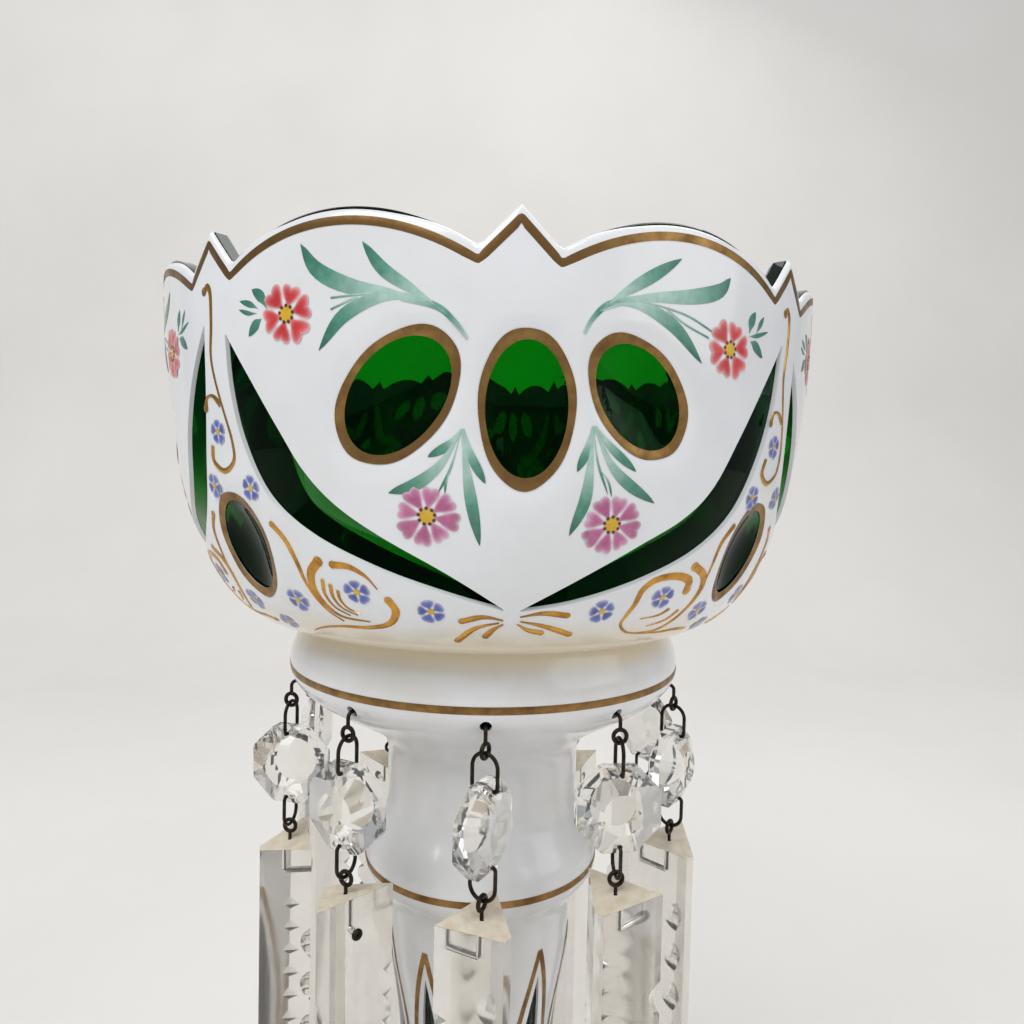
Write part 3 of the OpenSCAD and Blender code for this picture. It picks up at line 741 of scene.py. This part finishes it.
def pedestal_radius(z):
    """Radius of the pedestal's outside at a height."""
    def run(r1, z1, r2, z2):
        return r1 + (r2 - r1) * ease((z - z1) / (z2 - z1))
    top_of_foot = FOOT_EDGE_H + FOOT_LIP_H
    if z <= FOOT_EDGE_H:
        return FOOT_R
    if z <= top_of_foot:
        return FOOT_R - FOOT_LIP_IN * (1 - math.sqrt(1 - ((z - FOOT_EDGE_H) / FOOT_LIP_H) ** 2))
    if z <= FLARE_H:
        t = (FLARE_H - z) / (FLARE_H - top_of_foot)
        return SHAFT_R + (FOOT_R - FOOT_LIP_IN - SHAFT_R) * t ** FLARE_POWER
    if z <= SHAFT_Z:
        return SHAFT_R
    if z <= SHOULDER_Z:
        return run(SHAFT_R, SHAFT_Z, SHOULDER_R, SHOULDER_Z)
    if z <= BULGE_Z:
        return run(SHOULDER_R, SHOULDER_Z, BULGE_R, BULGE_Z)
    if z <= NECK_Z - NECK_LEN:
        return run(BULGE_R, BULGE_Z, NECK_R, NECK_Z - NECK_LEN)
    if z <= NECK_Z:
        return NECK_R
    if z <= COLLAR_Z:
        return run(NECK_R, NECK_Z, COLLAR_R, COLLAR_Z)
    return run(COLLAR_R, COLLAR_Z, COLLAR_TOP_R, SEAT_Z)


def pedestal_lean(z):
    low, high = max(z - 0.2, 0), min(z + 0.2, SEAT_Z)
    return math.atan((pedestal_radius(high) - pedestal_radius(low)) / (high - low))


def on_pedestal(angle, z, lift=0.0):
    """A point on the pedestal's outside, or a lift above it."""
    lean = pedestal_lean(z)
    return around(angle, pedestal_radius(z) + lift * math.cos(lean), z - lift * math.sin(lean))


def pedestal_line(depth, low, count):
    """Outline along the pedestal at a depth below its outside."""
    line = []
    for i in range(count + 1):
        z = low + (SEAT_Z - low) * i / count
        lean = pedestal_lean(z) if 0 < i < count else 0
        line.append((pedestal_radius(z) - depth * math.cos(lean), z + depth * math.sin(lean)))
    return line


PEDESTAL_COLUMNS = 192
casing_bm = spun(pedestal_line(0, OVERLAY_LIFT, 190) + pedestal_line(CASING - SEAM, OVERLAY_LIFT, 80)[::-1],
                 PEDESTAL_COLUMNS)
green_bm = spun(pedestal_line(CASING + SEAM, 0, 110) + pedestal_line(WALL, 0, 80)[::-1], PEDESTAL_COLUMNS)
print("pedestal faces:", len(casing_bm.faces), len(green_bm.faces))

# %% [markdown]
# ## Lancets and hook holes
# A lancet is a slim window that is a pointed arch at both ends. It could be cut with a curved tool, as the
# swags are, but its sides are straight, so a flat outline that is extruded outwards is enough. Small holes
# take the hooks.

# %% Lancets and holes
LANCET_COUNT, LANCET_TIP, LANCET_LEN, LANCET_W, LANCET_ARCH = 10, SEAT_Z - 84, 108, 6, 32
LANCET_STEPS, LANCET_STEP = 60, 360 / LANCET_COUNT
CHAIN_PHASE, HOLE_Z, HOLE_D = -2.6, SEAT_Z - 14.7, 2.4
PUSH_LANCET, PUSH_HOLE = 16, 20


def arch_half(from_tip, length, width, arch):
    """Half the width of a double-pointed arch at a distance below its tip."""
    r = (arch ** 2 + width ** 2 / 4) / width
    y = max(arch - min(from_tip, length - from_tip), 0)
    return width / 2 - r + math.sqrt(r ** 2 - y ** 2)


def lancet_tool(bm, k):
    """One lancet's outline, pushed out through the casing."""
    downs = [LANCET_LEN * i / LANCET_STEPS for i in range(LANCET_STEPS + 1)]
    side = [(arch_half(down, LANCET_LEN, LANCET_W, LANCET_ARCH), LANCET_TIP - down) for down in downs]
    outline = side + [(-x, z) for x, z in side[-2:0:-1]]
    face = bm.faces.new([bm.verts.new((x * MM, -(SHAFT_R - WALL) * MM, z * MM)) for x, z in outline])
    out = bmesh.ops.extrude_face_region(bm, geom=[face])["geom"]
    verts = [g for g in out if isinstance(g, bmesh.types.BMVert)]
    bmesh.ops.translate(bm, verts=verts, vec=(0, -PUSH_LANCET * MM, 0))
    bmesh.ops.rotate(bm, verts=list(face.verts) + verts, cent=(0, 0, 0),
                     matrix=Matrix.Rotation(math.radians(LANCET_STEP * k), 3, "Z"))


def hole_tool(bm, k):
    """A round bar through the collar where a hook goes."""
    place = (Matrix.Rotation(math.radians(CHAIN_PHASE + LANCET_STEP * k), 4, "Z")
             @ Matrix.Translation((0, -COLLAR_R * MM, HOLE_Z * MM))
             @ Matrix.Rotation(math.radians(90), 4, "X"))
    radius = HOLE_D / 2 * MM
    bmesh.ops.create_cone(bm, cap_ends=True, segments=24, radius1=radius, radius2=radius,
                          depth=PUSH_HOLE * MM, matrix=place)


tools, holes = bmesh.new(), bmesh.new()
for k in range(LANCET_COUNT):
    lancet_tool(tools, k)
    hole_tool(tools, k)
    hole_tool(holes, k)
casing_bm, green_bm = cut(casing_bm, tools), cut(green_bm, holes)
print("pedestal faces after the cut:", len(casing_bm.faces), len(green_bm.faces))
dress(finished(casing_bm, "pedestal_casing", pedestal_white), "pedestal_white_overlay")
dress(finished(green_bm, "pedestal_green", deep_emerald_painted_shade), "pedestal_green_glass")

# %% [markdown]
# ## Brush strokes
# Gilding and enamel are put on with a brush. They could be a picture on the glass, but real paint stands up
# and catches the light, so every line, leaf and petal is a small grid that is bent onto the glass: u runs
# across the stroke and t along it. The middle stands a hair above the edges, as thick paint does.


# %% Brush
def patch(bm, across, along, shape, colour=None):
    """A grid whose spots are placed by shape(u, t), with u from -1 to 1 and t from 0 to 1."""
    layer = bm.verts.layers.float_color.get("paint") or bm.verts.layers.float_color.new("paint")
    for v in bmesh.ops.create_grid(bm, x_segments=across, y_segments=along, size=1)["verts"]:
        u, t = v.co.x, (v.co.y + 1) / 2
        v.co = shape(u, t)
        if colour:
            v[layer] = colour(u, t)


LIFT, CROWN = 0.05, 0.07


def stroke(bm, points, width, colour=None, along=14, crown=CROWN):
    """A stroke along points, which are angle and height. The width is a function of t, in millimetres."""
    angle, z = points[len(points) // 2]
    radius, lean = bowl_radius(z), bowl_lean(z)
    path = curve_through([(math.radians(a - angle) * radius, (h - z) / math.cos(lean)) for a, h in points])

    def shape(u, t):
        p, step = path(t), path(min(t + 0.01, 1)) - path(max(t - 0.01, 0))
        side = Vector((step.y, -step.x)).normalized()
        p = p + side * u * width(t) / 2
        lift = LIFT + crown * (1 - u * u)
        return on_bowl(angle + math.degrees(p.x / radius), z + p.y * math.cos(lean), lift)
    patch(bm, 4, along, shape, colour)


def leaf_width(most, at=0.45, tail=0.12):
    """A leaf's width: thin at its stem, full at a share of its length, pointed at its end."""
    def width(t):
        rise = tail + (1 - tail) * smooth_step(t / at)
        return most * rise * max(1 - (max(t - at, 0) / (1 - at)) ** 2, 0.02) ** 0.8
    return width


def gradient(*colours):
    """Colours along a stroke."""
    def colour(u, t):
        s = t * (len(colours) - 1)
        i = min(int(s), len(colours) - 2)
        return Vector(colours[i]).lerp(Vector(colours[i + 1]), s - i)
    return colour


def paint_object(bm, name, material):
    """Makes an object of painted strokes, which ride on the glass."""
    obj = finished(bm, name, material, sharp=60)
    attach(obj, "glassware")
    return obj


print("brush ready")

# %% [markdown]
# ## Gilding
# Gilt lines follow the rim, frame every window and lancet, and ring the collar, the bulge and the foot. A
# bevelled curve could draw them, but the window frames lie in the dish that the wheel left, so each spot is
# lowered by the dish's depth, and a grid can do that.

# %% Gilt lines
RIM_LINE_DROP, RIM_LINE_W = 2.5, 1.4
FRAME_W, FRAME_INSET, FRAME_LIFT = 1.5, 0.985, 0.09
gilt = bmesh.new()


def rim_line(u, t):
    """One lobe with its two half points, from a point to the next."""
    angle = POINT_STEP * t
    z = rim_height(angle) - RIM_LINE_DROP
    slope = (rim_height(angle + 0.2) - rim_height(angle - 0.2)) / (0.4 * math.radians(1) * BOWL_R)
    slope = max(min(slope, 1.0), -1.0)
    half_w = RIM_LINE_W / 2 * math.sqrt(1 + slope ** 2)
    return on_bowl(angle, z + u * half_w, LIFT + CROWN * (1 - u * u) * 0.6)


patch(gilt, 4, 120, rim_line)
repeat_round(gilt, POINT_STEP, 1)


def window_frame(window):
    """A gilt frame of uneven width round a window, in the dish."""
    def shape(u, t):
        width = FRAME_W + 0.12 * math.sin(6 * math.pi * t + window["z"]) + 0.07 * math.sin(14 * math.pi * t)
        share = FRAME_INSET + (u + 1) / 2 * width / (window["half_h"] * window["half_w"]) ** 0.5
        angle, z = beside(window["angle"], window["z"], *window_spot(window, share, 2 * math.pi * t))
        return on_bowl(angle, z, FRAME_LIFT + CROWN * (1 - u * u) * 0.5 - dish_depth(angle, z, False))
    return shape


for window in WINDOWS.values():
    patch(gilt, 5, 120, window_frame(window))
repeat_round(gilt)
gilt_on_bowl = paint_object(gilt, "gilt_on_bowl", gilding)
print("gilt faces on the bowl:", len(gilt_on_bowl.data.polygons))

# %% Gilt lines on the pedestal
RING_HEIGHTS, RING_W = (252.7, 203.5, 8.4), 1.6
GILT_TIP, GILT_LEN, GILT_W, GILT_ARCH, GILT_HALF = LANCET_TIP + 6.5, LANCET_LEN + 13, 10.4, 35, 0.7
gilt = bmesh.new()
for height in RING_HEIGHTS:
    def ring(u, t):
        return on_pedestal(360 * t, height + u * RING_W / 2, LIFT + CROWN * (1 - u * u))
    patch(gilt, 4, PEDESTAL_COLUMNS, ring)
for k in range(LANCET_COUNT):
    for side in (-1, 1):
        def lancet_line(u, t):
            z = GILT_TIP - GILT_LEN * t
            x = side * arch_half(GILT_LEN * t, GILT_LEN, GILT_W, GILT_ARCH) + u * GILT_HALF
            angle = LANCET_STEP * k + math.degrees(x / pedestal_radius(z))
            return on_pedestal(angle, z, LIFT + CROWN * (1 - u * u))
        patch(gilt, 4, 90, lancet_line)
gilt_on_pedestal = paint_object(gilt, "gilt_on_pedestal", gilding)
print("gilt faces on the pedestal:", len(gilt_on_pedestal.data.polygons))

# %% [markdown]
# ## Enamel flowers
# Each panel carries the same bouquet on both sides, painted by hand and so never quite alike. A spray of
# three long leaves grows from the middle to a red flower, and a fan of leaves hangs between two windows to
# a pink flower. Each spot is an angle from the panel's middle and a height. One bouquet could be mirrored,
# but the two sides differ on purpose, so each has its own spots. Leaves start pale at the stem and end
# dark.

# %% Leaves
PALE_STEM, MID_LEAF, DARK_LEAF = linear(170, 202, 191), linear(82, 144, 123), linear(42, 106, 86)
BOUQUET = {
    1: dict(
        spray=[[(8.0, 320.6), (9.0, 323.0), (11.0, 325.4), (15.0, 326.6)],
               [(9.4, 323.8), (13.0, 327.4), (16.8, 330.6), (20.9, 334.0)],
               [(9.8, 324.2), (15.3, 326.8), (22.7, 328.2), (27.4, 330.0), (29.4, 332.6)],
               [(10.6, 325.4), (15.3, 325.6), (20.3, 323.0), (25.1, 317.7)]],
        stems=[[(15.3, 326.4), (18.5, 325.9), (22.4, 325.0), (26.4, 323.2)],
               [(19.0, 325.6), (22.0, 323.6), (26.0, 322.0)]],
        sprigs=[[(34.0, 324.2), (34.3, 326.0), (35.1, 328.0)], [(35.6, 324.4), (36.4, 326.0), (37.3, 327.6)],
                [(34.0, 323.6), (35.8, 324.0), (38.6, 325.2)], [(34.4, 322.8), (35.6, 322.2), (37.6, 320.4)]],
        fan=[[(9.8, 306.3), (9.9, 299.4), (9.6, 294.0), (8.0, 288.5)],
             [(10.0, 306.3), (12.6, 300.6), (15.6, 297.2), (20.1, 294.1)],
             [(9.8, 306.3), (9.3, 302.6), (8.2, 299.0)], [(10.2, 306.3), (12.7, 302.9), (16.5, 299.3)],
             [(9.9, 306.3), (10.9, 300.6), (12.8, 295.4)], [(11.0, 299.8), (12.6, 297.6), (13.4, 295.0)]],
        red=(30.1, 320.7), pink=(14.0, 290.4)),
    -1: dict(
        spray=[[(6.1, 319.2), (7.6, 321.6), (9.8, 323.9), (14.0, 325.4)],
               [(8.4, 322.6), (12.4, 326.2), (16.3, 329.6), (19.0, 334.0)],
               [(9.6, 323.8), (14.9, 325.8), (20.7, 327.3), (25.2, 330.2), (27.5, 334.4)],
               [(10.4, 324.6), (16.2, 325.4), (21.4, 322.8), (25.0, 317.5)]],
        stems=[[(17.6, 326.0), (20.6, 325.8), (23.2, 325.6)], [(19.6, 325.6), (21.6, 324.6), (23.2, 323.8)]],
        sprigs=[[(33.0, 324.8), (34.0, 326.8), (35.6, 328.2)], [(34.6, 325.0), (36.0, 325.8), (38.0, 326.6)],
                [(34.8, 324.2), (36.4, 324.4), (38.2, 325.2)], [(34.0, 323.2), (35.0, 322.4), (36.4, 320.6)]],
        fan=[[(6.6, 305.3), (9.2, 299.8), (12.6, 296.4), (16.3, 294.9)],
             [(6.6, 305.3), (6.0, 298.9), (5.3, 293.3), (4.2, 286.6)],
             [(6.6, 305.3), (8.2, 302.8), (10.9, 300.8)], [(6.4, 305.3), (5.4, 301.0), (3.6, 296.8)],
             [(6.6, 305.3), (8.0, 299.2), (9.8, 294.8)], [(7.9, 299.4), (8.6, 297.0), (8.8, 295.0)]],
        red=(29.8, 323.6), pink=(11.3, 291.3)),
}
flowers = bmesh.new()
for side, bouquet in BOUQUET.items():
    def paint_leaf(points, width, *colours):
        stroke(flowers, [(side * a, z) for a, z in points], width, gradient(*colours), along=18, crown=0.05)
    paint_leaf(bouquet["spray"][0], lambda t: 0.5 + 0.9 * t, PALE_STEM, MID_LEAF, PALE_STEM)
    for points, width in zip(bouquet["spray"][1:], (2.1, 2.7, 2.3)):
        paint_leaf(points, leaf_width(width, 0.62), PALE_STEM, PALE_STEM, MID_LEAF, DARK_LEAF)
    for points in bouquet["stems"]:
        paint_leaf(points, lambda t: 0.35, PALE_STEM, MID_LEAF)
    for points, width in zip(bouquet["sprigs"], (1.9, 1.1, 0.8, 1.8)):
        paint_leaf(points, leaf_width(width, 0.55), MID_LEAF, DARK_LEAF)
    for points, width in zip(bouquet["fan"], (2.1, 2.0, 1.5, 1.5, 0.45, 0.4)):
        paint_leaf(points, leaf_width(width, 0.66, 0.2), PALE_STEM, PALE_STEM, MID_LEAF, DARK_LEAF)
print("leaf faces on one panel:", len(flowers.faces))

# %% [markdown]
# A flower is five to eight petals round a yellow eye. A petal could be a leaf stroke, but its sides follow
# the flower's rays, so it is a grid on polar lines: u spreads it across its angle and t runs outwards. Its
# end is rounded, and a notch makes it heart-shaped. The eye of a large flower is ringed with dark dots.

# %% Flowers
PETAL_GRID = (12, 8)


def petal(bm, spot, turn, reach, half_angle, notch, colour):
    """One petal of a flower at a spot, pointing to an angle."""
    inner, outer = reach

    def shape(u, t):
        end = 1 - 0.26 * abs(u) ** 4 - notch * (1 - abs(u)) ** 2
        r = inner + (outer - inner) * t * end
        a = turn + half_angle * u * (0.4 + 0.6 * smooth_step(t / 0.7))
        return on_bowl(*beside(*spot, r * math.sin(a), r * math.cos(a)), LIFT + CROWN * (1 - u * u) * t)
    patch(bm, *PETAL_GRID, shape, colour)


def dot(bm, spot, x, y, radius, colour, lift=0.1):
    """A small round dab beside a spot."""
    def shape(u, t):
        a = math.pi * u
        dab = beside(*spot, x + radius * t * math.sin(a), y + radius * t * math.cos(a))
        return on_bowl(*dab, lift + 0.06 * (1 - t * t))
    patch(bm, 12, 2, shape, lambda u, t: colour)


def petal_colour(base, body, edge):
    """Pale at the base, full in the middle, and fading to the white glass along the edges."""
    along = gradient(base, body, body, edge)

    def colour(u, t):
        fade = max(0.75 * abs(u) ** 8, 0.5 * t ** 12)
        return along(u, t).lerp(Vector(edge), 0.5 * abs(u) ** 3).lerp(Vector(linear(232, 228, 230)), fade)
    return colour


EYE_YELLOW, EYE_BROWN, EYE_DOTS, DOTTED_FROM = linear(214, 172, 36), linear(92, 48, 20), 9, 4


def flower(bm, spot, count, radius, notch, colours, turn=0.0):
    """A flower with its petals and its eye. The colours are those of its petals, in turn."""
    for i in range(count):
        base, body, edge = colours[i % len(colours)]
        outer = radius * (0.94 + 0.06 * ((i * 7) % 3))
        petal(bm, spot, turn + 2 * math.pi * i / count, (0.16 * radius, outer), 0.97 * math.pi / count, notch,
              petal_colour(base, body, edge))
    dot(bm, spot, 0, 0, 0.24 * radius, EYE_YELLOW)
    if radius > DOTTED_FROM:
        for i in range(EYE_DOTS):
            a, r = 2 * math.pi * i / EYE_DOTS, 0.25 * radius
            dot(bm, spot, r * math.sin(a), r * math.cos(a), 0.3, EYE_BROWN, 0.14)


print("grid of a petal:", PETAL_GRID)

# %% Paint the flowers
RED = [(linear(232, 170, 168), linear(206, 58, 60), linear(220, 104, 104)),
       (linear(226, 140, 138), linear(196, 46, 52), linear(214, 90, 92))]
PINK = [(linear(214, 160, 186), linear(188, 104, 146), linear(206, 142, 178)),
        (linear(206, 140, 172), linear(176, 88, 134), linear(190, 112, 156)),
        (linear(210, 150, 180), linear(184, 98, 142), linear(160, 72, 118))]
BLUE = [(linear(146, 156, 208), linear(86, 99, 176), linear(122, 134, 198)),
        (linear(134, 144, 200), linear(70, 83, 158), linear(104, 118, 186))]
for side, bouquet in BOUQUET.items():
    (red_angle, red_z), (pink_angle, pink_z) = bouquet["red"], bouquet["pink"]
    flower(flowers, (side * red_angle, red_z), count=6, radius=5.4, notch=0.22, colours=RED, turn=0.3)
    flower(flowers, (side * pink_angle, pink_z), count=8, radius=5.5, notch=0.14, colours=PINK, turn=0.2)
LITTLE = {
    1: [(26.8, 276.7), (39.0, 272.8), (15.8, 274.6)],
    -1: [(23.5, 277.4), (36.4, 274.6), (11.8, 274.5)],
}
COLUMN_LITTLE = [(44.9, 304.9), (41.2, 295.2), (50.8, 295.0), (45.6, 268.9)]
for side in LITTLE:
    for i, (angle, z) in enumerate(LITTLE[side]):
        flower(flowers, (side * angle, z), count=5, radius=2.65, notch=0.06, colours=BLUE, turn=0.5 * i)
for i, (angle, z) in enumerate(COLUMN_LITTLE):
    flower(flowers, (angle, z), count=5, radius=2.4, notch=0.06, colours=BLUE, turn=0.7 * i)
repeat_round(flowers)
bmesh.ops.remove_doubles(flowers, verts=flowers.verts, dist=1e-7)
enamel_flowers = paint_object(flowers, "enamel_flowers", enamel)
print("enamel faces:", len(enamel_flowers.data.polygons))

# %% [markdown]
# ## Gilt scrolls
# Raised gold scrolls fill the corners: an S down the column between two panels, a C with hatching under
# each swag, and three short leaves on each side of the point where two swags meet. They could be bevelled
# curves, but the brush is already there, so they are thicker strokes in raised gold.

# %% Scrolls
SCROLLS = {
    1: [(1.2, [(37.9, 289.7), (36.0, 286.4), (35.7, 281.8), (35.6, 278.8)]),
        (1.7, [(31.4, 282.4), (34.4, 280.6), (35.6, 277.8), (34.9, 274.4), (33.0, 271.3), (30.2, 269.4),
               (25.9, 269.2)]),
        (1.8, [(31.8, 277.7), (31.2, 279.8), (27.8, 280.8), (24.0, 280.3), (22.0, 278.4), (21.6, 275.7),
               (20.9, 273.5), (20.7, 271.5), (23.2, 269.6), (27.4, 269.0)]),
        (1.2, [(40.2, 268.4), (36.4, 268.8), (32.0, 268.7), (27.4, 269.0)]),
        (0.8, [(29.7, 273.9), (27.9, 272.9), (24.3, 272.5)]),
        (0.8, [(32.4, 273.4), (30.6, 271.6), (26.9, 270.7)])],
    -1: [(1.2, [(36.3, 288.7), (34.3, 286.0), (33.2, 282.1), (32.8, 278.9), (31.9, 275.7), (30.4, 273.0),
                (28.2, 271.2)]),
         (1.8, [(29.0, 282.6), (31.0, 280.3), (31.5, 277.2), (30.2, 274.0), (27.8, 272.1), (22.9, 271.6)]),
         (1.4, [(26.5, 282.2), (23.8, 282.0), (21.4, 280.5), (19.8, 278.2)]),
         (1.5, [(18.4, 276.2), (17.6, 274.0), (19.4, 271.5), (23.6, 270.3), (28.8, 270.0), (33.8, 269.2),
                (38.0, 267.9)]),
         (0.8, [(29.2, 279.0), (29.6, 276.4), (28.6, 274.0), (26.2, 272.6)]),
         (0.8, [(28.0, 278.2), (28.2, 276.0), (27.2, 274.0), (24.7, 272.8)]),
         (0.7, [(26.9, 277.2), (27.0, 275.6), (26.0, 274.0), (24.0, 273.2)])],
}
FLOURISH = {
    1: [[(2.3, 273.8), (6.0, 274.5), (9.9, 274.0)], [(2.4, 272.9), (6.4, 271.9), (11.4, 270.0)],
        [(2.0, 272.3), (3.9, 271.1), (6.2, 270.5)]],
    -1: [[(0.4, 273.1), (3.6, 273.7), (7.0, 272.8)], [(1.0, 272.6), (4.8, 271.4), (8.0, 268.6)],
         [(0.3, 272.3), (1.9, 271.2), (3.1, 269.7)]],
}
COLUMN_SCROLLS = [
    [(43.7, 329.6), (44.6, 330.3), (45.3, 328.6), (45.3, 323.3), (44.9, 318.2), (45.6, 313.9), (47.0, 308.6),
     (48.2, 303.5), (48.0, 299.8), (45.2, 297.9), (42.6, 299.6), (42.9, 302.5)],
    [(42.4, 309.2), (43.0, 311.0), (44.6, 311.2), (46.4, 309.6)],
]
print("scrolls on one panel:", sum(len(lines[side]) for lines in (SCROLLS, FLOURISH) for side in lines))

# %% Paint the scrolls
scrolls = bmesh.new()


def gold_line(points, side, width, along, crown, end, blob):
    """A raised stroke with a round blob at one end."""
    points = [(side * a, z) for a, z in points]
    stroke(scrolls, points, width, along=along, crown=crown)
    dot(scrolls, points[end], 0, 0, blob, (1, 1, 1, 1))


for side in SCROLLS:
    for most, points in SCROLLS[side]:
        gold_line(points, side, lambda t: most * (0.55 + 0.45 * math.cos(2.6 * t)), 26, 0.16, 0, 0.55 * most)
    for points in FLOURISH[side]:
        gold_line(points, side, lambda t: 0.4 + 0.9 * smooth_step(t / 0.8), 14, 0.2, -1, 0.66)
for points in COLUMN_SCROLLS:
    gold_line(points, 1, lambda t: 0.9 + 0.35 * math.cos(2 * math.pi * t), 60, 0.16, 0, 0.8)
repeat_round(scrolls)
bmesh.ops.remove_doubles(scrolls, verts=scrolls.verts, dist=1e-7)
gilt_scrolls = paint_object(scrolls, "gilt_scrolls", raised_gold)
print("scroll faces:", len(gilt_scrolls.data.polygons))

# %% [markdown]
# ## Crystal, wire and cement
# The drops keep the frame's own facets, because cut crystal is made of flat faces. They only need their
# finishes. Each prism's top was ground flat and never polished, and its pale warm colour is partly painted
# light, standing in for the light the crystal carries to its top. It could be a second material on the
# node's own faces, but the frame's meshes are left alone, so a thin matte skin is laid on it.

# %% Frame finishes
TOP_UPRIGHT, TOP_REACH, SKIN_LIFT = 0.95, 4, 0.04


def ground_top_and_painted_light(node, name, body):
    """A matte skin a hair above a prism's top face, in a pale colour that is partly painted light."""
    bm = bmesh.new()
    bm.from_mesh(node.data)
    bmesh.ops.transform(bm, matrix=node.matrix_world, verts=bm.verts)
    bm.normal_update()
    top = max(v.co.z for v in bm.verts)
    low = top - TOP_REACH * MM
    rest = [f for f in bm.faces if f.normal.z < TOP_UPRIGHT or f.calc_center_median().z < low]
    bmesh.ops.delete(bm, geom=rest, context="FACES")
    bmesh.ops.translate(bm, verts=bm.verts, vec=(0, 0, SKIN_LIFT * MM))
    skin = finished(bm, name, ground_crystal_and_painted_light)
    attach(skin, body)
    return skin


for name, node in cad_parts.items():
    if name.startswith(("hook", "bead_links", "prism_pin")):
        node.material_slots[0].material = dark_wire
    elif name.startswith("bead"):
        node.material_slots[0].material = bead_crystal
    elif name.startswith("prism"):
        node.material_slots[0].material = prism_crystal
        skin = ground_top_and_painted_light(node, name.replace("prism", "ground_top_and_painted_light"), name.replace("prism", "pendant"))
    elif name == "cement_bed":
        node.material_slots[0].material = cement
print("faces of one ground top:", len(skin.data.polygons))

# %% [markdown]
# ## Studio
# A pale floor that turns up into a pale backdrop, one broad soft light from the left, a weaker one from the
# right and a little light from the room all round. The room is paler where the camera looks straight at it,
# so the background stays light without more light on the glass.

# %% Floor and lights
STUDIO_W, FLOOR_FRONT, COVE_Y, COVE_R, BACKDROP_H = 4, -1.7, 0.9, 0.5, 3
floor_bm = bmesh.new()
cove = [(COVE_Y + COVE_R * math.sin(a), COVE_R - COVE_R * math.cos(a)) for a in
        (math.radians(d) for d in range(0, 91, 10))]
profile = [(FLOOR_FRONT, 0)] + cove + [(COVE_Y + COVE_R, BACKDROP_H)]
verts = [floor_bm.verts.new((-STUDIO_W / 2, y, z)) for y, z in profile]
edges = [floor_bm.edges.new(pair) for pair in zip(verts, verts[1:])]
wide = bmesh.ops.extrude_edge_only(floor_bm, edges=edges)["geom"]
far_edge = [g for g in wide if isinstance(g, bmesh.types.BMVert)]
bmesh.ops.translate(floor_bm, verts=far_edge, vec=(STUDIO_W, 0, 0))
bmesh.ops.recalc_face_normals(floor_bm, faces=floor_bm.faces)
studio = cloudy_material("studio", 3, (linear(224, 221, 217), linear(219, 216, 211)), (0.6, 0.7))
floor = finished(floor_bm, "floor", studio)
LIT_SPOT = Vector((0, 0, 0.25))


def softbox(name, at, size, power):
    """A square soft light that looks at the lustre, with its size in metres and its power in watts."""
    lamp = bpy.data.objects.new(name, bpy.data.lights.new(name, "AREA"))
    lamp.data.size, lamp.data.energy = size, power
    aim = (LIT_SPOT - Vector(at)).to_track_quat("-Z", "Y")
    lamp.matrix_world = Matrix.Translation(at) @ aim.to_matrix().to_4x4()
    bpy.context.scene.collection.objects.link(lamp)


softbox("key", (-1.0, -1.3, 2.5), 2.0, 58)
softbox("fill", (2.0, -1.2, 1.4), 2.0, 14)
softbox("back", (0.5, 0.6, 1.7), 1.0, 7)

world = bpy.data.worlds.new("room")
bpy.context.scene.world = world
world.use_nodes = True
tree = world.node_tree
tree.nodes["Background"].inputs["Color"].default_value = linear(226, 230, 236)
seen = add(tree, "ShaderNodeLightPath")
strength = add(tree, "ShaderNodeMapRange", to_min=0.46, to_max=0.92)
link(tree, seen, "Is Camera Ray", strength, "Value")
link(tree, strength, "Result", tree.nodes["Background"], "Strength")
bpy.context.scene.view_settings.view_transform = "Standard"
